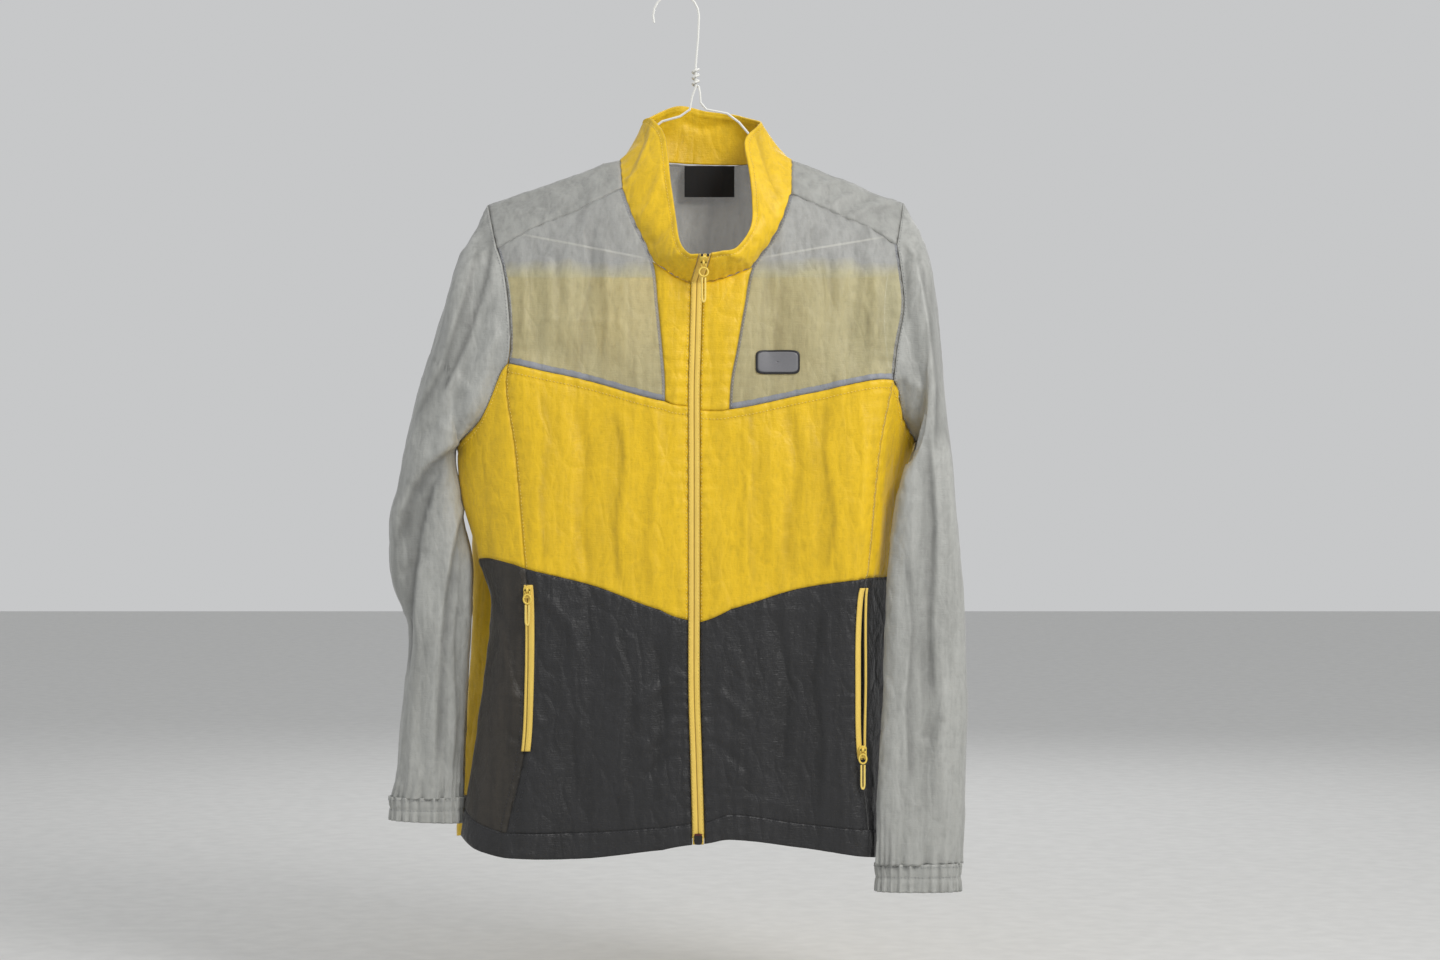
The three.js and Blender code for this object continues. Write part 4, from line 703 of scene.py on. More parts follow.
def grain(tree, place, stretch, scale, detail=4):
    where = stretched(tree, place, stretch)
    return node(tree, "ShaderNodeTexNoise", {"Vector": where, "Scale": scale, "Detail": detail})


def valued(tree, colour, value):
    return node(tree, "ShaderNodeHueSaturation", {"Color": colour, "Value": value})


def shaded(colour, factor):
    return tuple(min(1.0, factor * c) for c in colour[:3]) + (1,)


def finished(material, tree, shader, base, height, bump, distance):
    """Gives a material its colour and its fine relief."""
    tree.links.new(base, shader.inputs["Base Color"])
    normal = node(tree, "ShaderNodeBump", {"Height": height, "Strength": bump, "Distance": distance})
    tree.links.new(normal, shader.inputs["Normal"])
    return material


def crinkle_ridges(tree, place):
    """Low at the sharp lines of crinkled nylon, from cells with bent walls."""
    where = stretched(tree, place, (1, 1, 0.45))
    bend = tree.nodes.new("ShaderNodeTexNoise")
    tree.links.new(where, bend.inputs["Vector"])
    bend.inputs["Scale"].default_value, bend.inputs["Detail"].default_value = 30, 2
    kind = "ShaderNodeVectorMath"
    bent = node(tree, kind, {0: bend.outputs["Color"], 1: (0.03, 0.03, 0.03)}, operation="MULTIPLY")
    bent = node(tree, kind, {0: bent, 1: where}, operation="ADD")
    cells = node(tree, "ShaderNodeTexVoronoi", {"Vector": bent, "Scale": 44}, feature="DISTANCE_TO_EDGE")
    return remap(tree, cells, 0.0, 0.16)


# Light lines of the hanger's bar in the chest: from x, to x, height at the first, slope
BAR_LINES = [(-0.034, -0.152, -0.2712, -0.205), (0.091, 0.205, -0.2707, 0.181)]
BAR_COLOUR = linear(214, 213, 205)
# The yellow back shows through the chest below the yoke's seam, between these heights
TINT_TOP, TINT_BOTTOM = -0.274, -0.29


def bar_light(tree, place):
    """Thin light lines where the cloth lies over the hanger's bar."""
    x, _, z = split(tree, place)
    total = 0.0
    for from_x, to_x, at_z, slope in BAR_LINES:
        middle = maths(tree, "MULTIPLY_ADD", x, slope, at_z - slope * from_x)
        off = maths(tree, "ABSOLUTE", maths(tree, "SUBTRACT", z, middle))
        inside = band(tree, x, min(from_x, to_x), max(from_x, to_x), 0.012)
        strength = maths(tree, "MULTIPLY", remap(tree, off, 0.0015, 0.0004, 0, 0.55), inside)
        total = maths(tree, "MAXIMUM", total, strength)
    return total


def nylon(name, colour, see_through=0.0, bump=0.55, roughness=0.5, streak=0.34, contrast=1.0,
          tint=None, band_colour=None):
    """Crinkled plain-weave nylon: uneven weave, upright streaks, fine creases and darker seam edges, with
    painted shade in the relief's valleys, in the crinkle's low places and under the steps of folds, and a
    painted highlight on the relief's ridges.
    """
    material, tree, shader, place = blank(name, roughness, sheen=0.2)
    streaks = grain(tree, place, (1, 1, 0.1), 95)
    soft = grain(tree, place, (1, 1, 0.5), 22)
    slub = grain(tree, place, (0.3, 0.3, 2.4), 420, 3)
    crinkle = grain(tree, place, (1, 1, 0.6), 210, 6)
    weave = grain(tree, place, (1, 1, 1), 1500, 2)
    fine = grain(tree, place, (1, 1, 0.12), 260, 3)
    ridges = crinkle_ridges(tree, place)
    height = maths(tree, "MULTIPLY", crinkle, 0.8)
    for part, share in ((slub, 0.3), (weave, 0.16), (ridges, 0.42)):
        height = maths(tree, "ADD", height, maths(tree, "MULTIPLY", part, share))
    base = colour
    if tint:
        height_of = maths(tree, "ADD", split(tree, place)[2], remap(tree, soft, 0.3, 0.7, -0.006, 0.006))
        base = mixed(tree, remap(tree, height_of, TINT_TOP, TINT_BOTTOM), base, tint)
    light, dark = valued(tree, base, 1 + 0.16 * contrast), valued(tree, base, max(0.4, 1 - 0.3 * contrast))
    relief = measure(tree, "relief")
    # The first two rows paint shade in the relief's valleys and a highlight on its ridges; the crinkle row
    # paints shade in the crinkle's low places
    for value, low, high, amount, other in (
        (relief, -0.2, -3.0, 0.7, dark),
        (relief, 0.6, 3.6, 0.6, light),
        (fine, 0.55, 0.3, 1.3 * streak, dark),
        (streaks, 0.42, 0.72, 2 * streak, light),
        (streaks, 0.5, 0.26, 1.6 * streak, dark),
        (crinkle, 0.5, 0.3, 0.35, dark),
        (ridges, 0.5, 0.0, 0.22, light),
        (slub, 0.46, 0.7, 0.16, light),
    ):
        base = mixed(tree, remap(tree, value, low, high, 0, amount), base, other)
    # Painted shade on the low side of each fold's step, from the shade measure
    base = mixed(tree, maths(tree, "MULTIPLY", measure(tree, "shade"), 0.95), base, valued(tree, base, 0.42))
    seam = band(tree, measure(tree, "to_side"), -1, 0.8, 0.4)
    base = mixed(tree, maths(tree, "MULTIPLY", seam, 0.5), base, dark)
    alpha = 1 - see_through
    if band_colour:
        uneven = maths(tree, "ADD", measure(tree, "to_bottom"), remap(tree, crinkle, 0.3, 0.7, -0.5, 0.5))
        sides = maths(tree, "MULTIPLY", band(tree, measure(tree, "to_side"), -3, 3.0, 0.3), 0.75)
        opaque = maths(tree, "MAXIMUM", band(tree, uneven, -3, 6.4, 0.3), sides)
        alpha = maths(tree, "MAXIMUM", opaque, alpha)
        base = mixed(tree, opaque, base, band_colour)
        base = mixed(tree, bar_light(tree, place), base, BAR_COLOUR)
    plug(tree, alpha, shader.inputs["Alpha"])
    return finished(material, tree, shader, base, height, bump, 0.0016)


def tape(name, colour):
    """Woven zip tape: fine cross ribs between two smooth selvedges."""
    material, tree, shader, place = blank(name, 0.62, sheen=0.15)
    along, side = measure(tree, "along"), measure(tree, "to_side")
    ribs = maths(tree, "SINE", maths(tree, "MULTIPLY", along, 2 * math.pi / 0.9))
    lines = maths(tree, "SINE", maths(tree, "MULTIPLY", side, 2 * math.pi / 1.3))
    height = maths(tree, "ADD", maths(tree, "MULTIPLY", ribs, 0.35), maths(tree, "MULTIPLY", lines, 0.5))
    uneven = grain(tree, place, (1, 1, 0.3), 160)
    selvedge = maths(tree, "MULTIPLY", band(tree, side, -1, 0.5, 0.2), 0.55)
    # Painted shade in the troughs between the ribs
    base = mixed(tree, remap(tree, ribs, -1, 1, 0.12, 0), colour, shaded(colour, 0.6))
    base = mixed(tree, remap(tree, uneven, 0.35, 0.65, 0, 0.3), base, shaded(colour, 1.18))
    base = mixed(tree, selvedge, base, shaded(colour, 0.45))
    return finished(material, tree, shader, base, height, 0.5, 0.0003)


def plain(name, colour, roughness, scale=900, bump=0.2):
    """One colour with a fine grain."""
    material, tree, shader, place = blank(name, roughness)
    uneven = node(tree, "ShaderNodeTexNoise", {"Vector": place, "Scale": scale, "Detail": 3})
    base = mixed(tree, remap(tree, uneven, 0.3, 0.7, 0, 0.25), colour, shaded(colour, 0.7))
    return finished(material, tree, shader, base, uneven, bump, 0.0002)


GREY = linear(168, 169, 165)
grey = nylon("grey_nylon", GREY)
yoke_grey = nylon("yoke_nylon", GREY, see_through=0.2)
chest_colours = {"tint": linear(198, 190, 148), "band_colour": linear(140, 143, 151)}
chest_grey = nylon("chest_nylon", linear(174, 175, 172), see_through=0.3, **chest_colours)
chest_inside = nylon("chest_nylon_inside", GREY, see_through=0.85)
yellow = nylon("yellow_nylon", linear(234, 192, 10), roughness=0.48, streak=0.22)
charcoal = nylon("charcoal_nylon", linear(32, 32, 34), bump=0.9, roughness=0.4, streak=0.3, contrast=2.4)
# Painted brownish shade: a browner copy of the charcoal nylon for the lower right side panel, which is the
# same charcoal cloth as the left one
PAINTED_SHADE_BROWN = linear(46, 41, 34)
charcoal_painted_shade = nylon("charcoal_side_nylon", PAINTED_SHADE_BROWN, bump=0.8, roughness=0.42, streak=0.4, contrast=2)
tape_cloth = tape("zip_tape", linear(242, 206, 96))
yellow_zip = plain("zip_enamel", linear(244, 212, 96), 0.38, bump=0.1)
dark_plastic = plain("zip_box", linear(30, 26, 27), 0.4)
pull_cord = plain("pull_cord", linear(248, 220, 120), 0.75, scale=2200, bump=0.7)
red_plastic = plain("zip_box_red", linear(84, 22, 22), 0.4)
white_coat = plain("hanger_coat", linear(232, 232, 228), 0.32)
label_cloth = plain("label_cloth", linear(16, 16, 18), 0.8, scale=1800, bump=0.5)
badge_rubber = plain("badge_rubber", linear(118, 118, 122), 0.5)
badge_rim = plain("badge_rim", linear(34, 34, 38), 0.45)
threads = {
    "grey": plain("grey_thread", linear(172, 174, 174), 0.6),
    "yellow": plain("yellow_thread", linear(250, 224, 120), 0.6),
    "charcoal": plain("charcoal_thread", linear(62, 62, 66), 0.6),
}


# Body panels, on the part's own lines
AWAY_FRONT = np.array([0.0, -1.0, 0.0])
CELL, HEM_CELL, BACK_CELL = 3.0, 2.4, 4.0
HALF_GAP = 0.02
# Seam places on the shoulders: beside the neck, and out at the armholes
SEAM_SPANS = {"left": (117, 222), "right": (-54, -179)}
WEDGE_MIDDLE_Z, WEDGE_LEFT_Z, WEDGE_RIGHT_Z = -296, -281, -275
# Shares down the chest: its knee beside the wedge's top, where it has settled on its lines, and where it
# bends to its seam
KNEE, CHEST_SETTLED, CHEST_JOINS = 0.4, 0.35, 0.86
SIDES = {"left": 1, "right": -1}


def away_from_body(points):
    """Outward in plan, more to the front and back than to the sides."""
    away = points - np.array([ZIP_COLUMN_X, 0, 0])
    return away * np.array([0.5, 1, 0])


def stops(start, end, cell, z=-600.0):
    """Ring columns from one to another, spaced by real length."""
    out = [np.array([float(start)])]
    for column in range(int(start), int(end)):
        length = float(column_length(column + 0.5, z))
        out.append(column + np.linspace(0, 1, max(2, round(length / cell)) + 1)[1:])
    return np.concatenate(out)


def panel_points(start, end, top, bottom, cell=CELL, slit=None):
    """Grid of places on the body between two ring columns and two lines of height."""
    middle = stops(start, end, cell)[None, :]
    rows = int(abs(float(top(middle.mean())) - float(bottom(middle.mean()))) / cell) + 2
    t = np.linspace(0, 1, rows)[:, None]
    near = lerp(top(middle), bottom(middle), t)
    low, high = slit(near) if slit else (0, 0)
    low = (HALF_GAP + low) / column_length(start, near)
    high = (HALF_GAP + high) / column_length(end, near)
    column = middle + lerp(low, -high, (middle - start) / (end - start))
    return body_point(column, lerp(top(middle) - HALF_GAP, bottom(middle) + HALF_GAP, t))


def pocket_slit(z):
    """Half the gap of the open left pocket."""
    top, bottom = POCKET_ENDS["left"]
    share = np.clip((top - z) / (top - bottom), 0, 1)
    return 1.9 * np.sin(np.pi * share) ** 0.6


def wedge_top(column):
    share = np.clip(np.abs(column) - 1, 0, 1)
    return lerp(WEDGE_MIDDLE_Z, np.where(np.asarray(column) > 0, WEDGE_LEFT_Z, WEDGE_RIGHT_Z), share**1.6)


def chest_points(side):
    sign = SIDES[side]
    s, t = shares(60, 66)
    column = sign * lerp(2, 4, s)
    seam_x = lerp(*SEAM_SPANS[side], s)
    top, bottom = shoulder_seam_z(seam_x), round_z["chest"](column)
    knee = lerp((top - wedge_top(sign * 2)) / (top - bottom), KNEE, s)
    share = np.where(t < KNEE, t / KNEE * knee, lerp(knee, 1, (t - KNEE) / (1 - KNEE)))
    z = lerp(top, bottom, share)
    x = lerp(line[f"{side}Wedge"](z), line[f"{side}Princess"](z), s)
    x = lerp(seam_x, x, np.maximum(smooth(t, 0, CHEST_SETTLED), np.abs(2 * s - 1) ** 6))
    y = lerp(front_y(x, z), body_point(column, z)[..., 1], smooth(t, CHEST_JOINS, 1))
    return np.stack([x, y, z], -1)


# Side columns of the back, and its rows from the yoke to the chest seam, the waist and the hem's stitches
BACK_FROM, BACK_TO = 7, 13
CHEST_ROW, WAIST_ROW, STITCH_ROW = 5, 9, 17


def side_opening(z):
    """1 at the chest seam, where the back ends at its side columns, and 0 above, at the armhole."""
    return smooth(BACK_OPENS_Z - z, 0, BACK_OPENS_Z - round_z["chest"](BACK_FROM))


def back_points():
    middle = stops(BACK_FROM, BACK_TO, BACK_CELL)[None, :]
    chest, waist, stitch = round_z["chest"](BACK_FROM), round_z["waist"](middle), round_z["stitch"](middle)
    rows = np.linspace(0, 1, int(555 / BACK_CELL))[:, None] * STITCH_ROW
    above = lerp(BACK_SEAM_Z, chest, rows / CHEST_ROW)
    z = np.where(rows <= CHEST_ROW, above, lerp(chest, waist, (rows - CHEST_ROW) / (WAIST_ROW - CHEST_ROW)))
    below = lerp(waist, stitch, (rows - WAIST_ROW) / (STITCH_ROW - WAIST_ROW))
    z = np.where(rows <= WAIST_ROW, z, below)
    opened = 1 - side_opening(z)
    share = (middle - BACK_FROM) / (BACK_TO - BACK_FROM)
    return body_point(lerp(BACK_FROM + opened, BACK_TO - opened, share), z)


# Ring of the yoke and the sleeves: its columns, and where the neck starts and ends on the yoke
RING, NECK_FROM, NECK_TO = 28, 8, 20


def yoke_x(row, place):
    right_arm, right_neck, left_neck, left_arm = YOKE_SPANS.rows[row][1:]
    low = lerp(right_arm, right_neck, place / NECK_FROM)
    mid = lerp(right_neck, left_neck, (place - NECK_FROM) / (NECK_TO - NECK_FROM))
    high = lerp(left_neck, left_arm, (place - NECK_TO) / (RING - NECK_TO))
    return np.where(place <= NECK_FROM, low, np.where(place <= NECK_TO, mid, high))


def yoke_points():
    """Places from the front seams over the shoulders to the back seam, and which of them the yoke keeps."""
    ridge = 1 / 3
    downs = np.concatenate([np.linspace(0, ridge, 13), np.linspace(ridge, 1, 42)[1:]])
    s, t = np.meshgrid(np.linspace(0, 1, RING * 5 + 1), downs)
    place = s * RING
    seam_x, ridge_x, back_x = (yoke_x(row, place) for row in range(3))
    share = np.clip(t * 3, 0, 1)
    x = lerp(seam_x, ridge_x, share)
    z = lerp(shoulder_seam_z(seam_x), shoulder_z(ridge_x), share)
    front = np.stack([x, np.minimum(front_y(x, z), 0), z], -1)
    share = np.clip((t * 3 - 1) / 2, 0, 1)
    along = (place - NECK_FROM) / (NECK_TO - NECK_FROM)
    in_neck = (place > NECK_FROM) & (place < NECK_TO)
    top_x = np.where(in_neck, back_neck[0](along), ridge_x)
    top_z = np.where(in_neck, back_neck[2](along), shoulder_z(top_x))
    top_y = np.where(in_neck, back_neck[1](along), 0)
    z = lerp(top_z, BACK_SEAM_Z, share)
    x = lerp(top_x, back_x, share)
    hang = back_y(x, z) - back_y(top_x, top_z)
    back = np.stack([x, lerp(top_y + hang, back_y(x, z), smooth(share, 0, 0.8)), z], -1)
    points = np.where((t <= ridge - NO_LENGTH)[..., None], front, back)
    over_neck = (place >= NECK_FROM - 1e-6) & (place < NECK_TO)
    return points, ~(over_neck & (t < ridge - NO_LENGTH))


def on_front(x, z):
    return np.stack(np.broadcast_arrays(x, front_y(x, z), z), -1)


def piecewise(place, pieces):
    """Places on a line made of pieces: the start of each, its end and a function of the share along it."""
    out = np.zeros((*place.shape, 3))
    for low, high, at in pieces:
        here = (place >= low) & (place <= high + NO_LENGTH)
        out[here] = at((place[here] - low) / (high - low))
    return out


def neck_seam(along):
    """Places on the collar's seam with the body, by share from the zip round the wearer's left side."""
    def beside_wedge(name, top, bottom):
        return lambda t: on_front(line[name](lerp(top, bottom, t)), lerp(top, bottom, t))

    return piecewise(along * 34, [
        (0, 4, lambda t: body_point(1 + t, wedge_top(1 + t))),
        (4, 8, beside_wedge("leftWedge", WEDGE_LEFT_Z, -205)),
        (8, 11, lambda t: on_front(117 + t, lerp(-205, -168, t))),
        (11, 23, lambda t: np.stack([f(1 - t) for f in back_neck], -1)),
        (23, 26, lambda t: on_front(lerp(-57, -54, t), lerp(-168, -199, t))),
        (26, 30, beside_wedge("rightWedge", -199, WEDGE_RIGHT_Z)),
        (30, 34, lambda t: body_point(-2 + t, wedge_top(-2 + t))),
    ])


NECK_CENTRE = np.array([31.0, -20, -200])
LEVEL = np.array([1, 1, 0])


def collar_points():
    s, t = shares(260, 34)
    seam = neck_seam(s)
    top = np.stack([f(s) for f in collar_top], -1)
    inward = unit((NECK_CENTRE - seam) * LEVEL)
    start = seam + unit(top - seam) * 0.3 + inward * 0.2
    bulge = 3 * np.sin(np.pi * t) * np.minimum(1, np.minimum(12 * s, 12 * (1 - s)))
    return lerp(start, top, t[..., None]) - inward * bulge[..., None], s, t


# Sleeves: smooth skin through key rings, from the armhole down
def armhole(side, i):
    """Places round an armhole, at places of the ring: shoulder, front, underarm and back."""
    left = side == "left"
    front_x, ridge_x, back_x = (row[4] if left else row[1] for row in YOKE_SPANS.rows)
    ridge_z = shoulder_z(ridge_x)
    seam_z = shoulder_seam_z(front_x)

    def turned(column):
        return column if left else COLUMNS - column

    def chest(column):
        return round_z["chest"](turned(column))

    def down_front(t):
        z = lerp(seam_z, chest(4), t)
        return on_front(line[f"{side}Princess"](z), z)

    def under(low, high):
        return lambda t: body_point(turned(lerp(low, high, t)), chest(lerp(low, high, t)))

    def up_back(t):
        z = lerp(chest(7), BACK_SEAM_Z, t)
        return body_point(turned(7 + 1 - side_opening(z)), z)

    def over_back(t):
        x, z = lerp(back_x, ridge_x, t), lerp(BACK_SEAM_Z, ridge_z, t)
        return np.stack([x, back_y(x, z), z], -1)

    return piecewise(i, [
        (0, 3, lambda t: on_front(lerp(ridge_x, front_x, t), lerp(ridge_z, seam_z, t))),
        (3, 8, down_front),
        (8, 14, under(4, 6)),
        (14, 17, under(6, 7)),
        (17, 22, up_back),
        (22, RING, over_back),
    ])


def flat_ring(i):
    """A flattened round: shares of its half width and half depth at places of the ring."""
    angle = 2 * np.pi * i / RING
    c, s = np.cos(angle), np.sin(angle)
    return np.sign(c) * np.abs(c) ** 0.8, np.sign(s) * np.abs(s) ** 0.8


def through(keys, t):
    """Centripetal curve through rings of places, at each share of its length."""
    n = len(keys)
    place = np.clip(t, 0, 1) * (n - 1)
    k = np.minimum(np.floor(place).astype(int), n - 2)
    w = (place - k)[:, None, None]
    padded = np.concatenate([[2 * keys[0] - keys[1]], keys, [2 * keys[-1] - keys[-2]]])
    p0, p1, p2, p3 = (padded[k + step] for step in range(4))
    spans = ((p0, p1), (p1, p2), (p2, p3))
    d0, d1, d2 = (np.sqrt(np.linalg.norm(b - a, axis=-1, keepdims=True)) + 1e-4 for a, b in spans)
    t1 = ((p1 - p0) / d0 - (p2 - p0) / (d0 + d1) + (p2 - p1) / d1) * d1
    t2 = ((p2 - p1) / d1 - (p3 - p1) / (d1 + d2) + (p3 - p2) / d2) * d1
    return hermite(p1, p2, t1, t2, w)


SLEEVE_AROUND, SLEEVE_ALONG, CUFF_AROUND, CUFF_ALONG = 150, 225, 260, 16


def sleeve_points(side, rows):
    i = np.arange(SLEEVE_AROUND) / SLEEVE_AROUND * RING
    first = armhole(side, i)
    first[:, 0] += SIDES[side] * 0.3
    keys = [first]
    a, b = flat_ring(i)
    for *places, half in rows.rows:
        outer, inner = np.array(places[:3]), np.array(places[3:])
        ring = (outer + inner) / 2 + np.outer(a / 2, outer - inner)
        ring[:, 1] -= half * b
        keys.append(ring)
    return through(np.array(keys), np.linspace(0, 1, SLEEVE_ALONG)), i / RING * 2 * np.pi


def cuff_points(out_x, in_x, y, top, bottom, half, tilt):
    i = np.arange(CUFF_AROUND) / CUFF_AROUND * RING
    a, b = flat_ring(i)
    t = np.linspace(0, 1, CUFF_ALONG)[:, None]
    x = (out_x + in_x) / 2 + (out_x - in_x) / 2 * a + 0 * t
    z = lerp(top, bottom, t) + tilt * t * a
    return np.stack([x, y - half * b + 0 * t, z], -1), i / RING * 2 * np.pi


# Creases, in millimetres across and up: kind, height, width and places
BODY_CREASES = [
    ("ridge", 2.4, 6, [(-160, -250), (-150, -300), (-152, -360)]),
    ("ridge", -2.4, 5, [(-120, -262), (-114, -310), (-118, -372)]),
    ("step", 2.6, 12, [(-92, -232), (-84, -290), (-96, -340), (-92, -382)]),
    ("ridge", 2.4, 5, [(-72, -250), (-66, -310), (-70, -380)]),
    ("step", 2.4, 12, [(96, -252), (104, -300), (98, -350), (102, -390)]),
    ("ridge", -2.4, 5, [(150, -258), (156, -310), (148, -372)]),
    ("ridge", 2.4, 6, [(196, -262), (202, -315), (196, -366)]),
    ("step", 2.6, 12, [(-136, -400), (-126, -450), (-134, -510), (-128, -580)]),
    ("ridge", -2.8, 6, [(-98, -410), (-90, -470), (-94, -540), (-88, -590)]),
    ("step", -2.6, 12, [(-60, -410), (-50, -470), (-58, -540), (-52, -610)]),
    ("ridge", 2.4, 5, [(-22, -400), (-16, -480), (-24, -560), (-18, -620)]),
    ("step", 2.6, 11, [(70, -410), (78, -470), (72, -550), (78, -610)]),
    ("ridge", -2.6, 6, [(112, -410), (120, -480), (110, -560), (114, -600)]),
    ("step", -2.6, 12, [(156, -400), (148, -460), (158, -530), (152, -590)]),
    ("ridge", 2.2, 5, [(182, -400), (188, -470), (182, -560)]),
    ("step", 3.2, 14, [(-184, -606), (-166, -650), (-158, -700), (-150, -743)]),
    ("ridge", 2.8, 6, [(-130, -600), (-106, -640), (-96, -700), (-100, -760)]),
    ("step", -3.0, 13, [(-112, -610), (-92, -690), (-98, -750), (-94, -820)]),
    ("step", 3.0, 13, [(-60, -630), (-44, -700), (-52, -760), (-48, -830)]),
    ("ridge", -2.4, 6, [(-20, -640), (-12, -720), (-18, -800)]),
    ("step", 3.0, 13, [(58, -640), (72, -700), (64, -760), (70, -820)]),
    ("ridge", -2.8, 6, [(100, -620), (112, -700), (104, -800)]),
    ("step", -3.0, 13, [(150, -610), (138, -690), (148, -760), (142, -826)]),
    ("ridge", 1.9, 5, [(2, -690), (-20, -702), (-44, -722)]),
    ("ridge", 1.9, 5, [(4, -730), (-16, -744), (-38, -766)]),
    ("ridge", -1.7, 4, [(6, -760), (-12, -772), (-34, -790)]),
    ("ridge", 1.9, 5, [(36, -700), (56, -714), (76, -738)]),
    ("ridge", -1.7, 4, [(34, -750), (52, -762), (72, -784)]),
    ("ridge", 1.9, 5, [(-166, -700), (-146, -716), (-128, -742)]),
    ("ridge", -1.8, 4, [(-168, -740), (-148, -756), (-130, -778)]),
    ("ridge", 2.2, 5, [(-54, -186), (-90, -200), (-140, -224), (-178, -262)]),
    ("ridge", -2.0, 5, [(-66, -176), (-115, -192), (-160, -222)]),
    ("ridge", 1.8, 4, [(-80, -196), (-120, -216), (-160, -250)]),
    ("ridge", 2.2, 5, [(122, -186), (160, -206), (205, -234)]),
    ("ridge", -2.0, 5, [(130, -176), (175, -196), (215, -224)]),
    ("ridge", 1.8, 4, [(136, -200), (170, -222), (206, -252)]),
]
YOKE_CREASES = [
    ("ridge", 2.4, 4, [(206, -196), (178, -204), (150, -220)]),
    ("ridge", -2.2, 4, [(212, -204), (186, -212), (160, -230)]),
    ("step", 2.4, 9, [(222, -214), (196, -220), (172, -236)]),
    ("ridge", 2.2, 4, [(180, -186), (150, -196), (128, -208)]),
    ("ridge", 2.2, 4, [(-150, -192), (-124, -204), (-100, -214)]),
    ("ridge", -2.2, 4, [(-170, -200), (-140, -212), (-116, -224)]),
    ("step", 2.2, 9, [(-182, -212), (-152, -222), (-128, -236)]),
    ("ridge", 1.8, 4, [(-110, -180), (-88, -190), (-66, -200)]),
]
BACK_CREASES = [
    ("step", 3.0, 14, [(-150, -300), (-130, -420), (-140, -560), (-132, -700)]),
    ("step", -3.0, 14, [(-84, -320), (-70, -440), (-80, -600), (-74, -820)]),
    ("step", 2.8, 14, [(-20, -310), (-8, -450), (-18, -620), (-12, -830)]),
    ("ridge", -2.6, 7, [(34, -330), (44, -480), (34, -640), (40, -820)]),
    ("step", -3.0, 14, [(92, -310), (104, -440), (94, -600), (100, -820)]),
    ("step", 3.0, 14, [(158, -300), (146, -420), (156, -560), (150, -760)]),
    ("ridge", 2.0, 6, [(-200, -330), (-150, -360), (-90, -372)]),
    ("ridge", 2.0, 6, [(210, -330), (160, -362), (104, -376)]),
    ("ridge", -1.8, 5, [(-60, -190), (-20, -208), (40, -212), (110, -192)]),
    ("ridge", 2.0, 5, [(-120, -200), (-150, -236), (-166, -276)]),
    ("ridge", 2.0, 5, [(170, -206), (196, -236), (206, -276)]),
]
RIGHT_SLEEVE_CREASES = [
    ("step", 2.8, 9, [(-184, -222), (-194, -232), (-208, -238)]),
    ("ridge", 2.4, 5, [(-176, -250), (-190, -262), (-210, -290)]),
    ("ridge", -2.2, 5, [(-172, -300), (-180, -316), (-196, -340)]),
    ("ridge", 2.2, 5, [(-170, -340), (-184, -362), (-210, -392)]),
    ("step", 7.5, 40, [(-168, -392), (-176, -414), (-201, -440), (-223, -459), (-244, -477),
        (-262, -500), (-272, -530), (-284, -566)]),
    ("step", -4.0, 22, [(-226, -476), (-240, -500), (-252, -540), (-258, -580), (-264, -640),
        (-268, -700)]),
    ("step", 4.5, 20, [(-206, -452), (-212, -500), (-222, -561), (-230, -613), (-234, -653),
        (-236, -690), (-241, -796)]),
    ("ridge", -3.0, 7, [(-196, -440), (-206, -470), (-214, -500)]),
    ("step", -3.4, 14, [(-180, -236), (-186, -290), (-204, -350), (-236, -420)]),
    ("step", 3.2, 14, [(-196, -250), (-210, -310), (-232, -380), (-262, -440)]),
    ("ridge", -2.8, 7, [(-188, -300), (-200, -360), (-226, -430)]),
    ("ridge", 2.8, 6, [(-178, -330), (-190, -390), (-216, -440)]),
    ("ridge", -2.4, 6, [(-206, -400), (-232, -430), (-262, -458)]),
    ("ridge", 2.4, 5, [(-240, -488), (-252, -508), (-276, -530)]),
    ("ridge", -2.4, 5, [(-248, -560), (-262, -578), (-280, -592)]),
    ("ridge", 2.8, 7, [(-226, -640), (-228, -700), (-226, -780)]),
    ("ridge", -2.8, 7, [(-252, -640), (-254, -720), (-256, -790)]),
    ("step", 3.0, 11, [(-218, -600), (-222, -660), (-220, -730), (-224, -800)]),
]
LEFT_SLEEVE_CREASES = [
    ("step", 2.6, 9, [(222, -226), (236, -232), (250, -246)]),
    ("ridge", 2.2, 4, [(218, -246), (230, -256), (240, -270)]),
    ("ridge", 2.4, 6, [(222, -384), (232, -396), (250, -404)]),
    ("step", 3.0, 10, [(222, -372), (230, -420), (232, -470)]),
    ("step", 3.4, 8, [(229, -262), (231, -300), (232, -340)]),
    ("ridge", -2.6, 5, [(224, -276), (234, -270), (244, -276)]),
    ("step", 3.2, 14, [(240, -262), (252, -330), (258, -400), (256, -470)]),
    ("ridge", -2.8, 7, [(234, -330), (244, -400), (250, -480)]),
    ("ridge", 2.8, 7, [(226, -400), (232, -500), (230, -600)]),
    ("step", -3.4, 14, [(252, -440), (258, -540), (254, -640), (258, -720)]),
    ("ridge", 2.6, 7, [(268, -420), (272, -540), (270, -660)]),
    ("step", 3.2, 13, [(226, -560), (234, -640), (228, -720), (232, -800)]),
    ("ridge", -2.6, 6, [(246, -640), (250, -740), (246, -850)]),
    ("ridge", 2.6, 6, [(268, -680), (264, -760), (268, -850)]),
    ("ridge", -2.4, 5, [(262, -726), (254, -742), (246, -752)]),
]
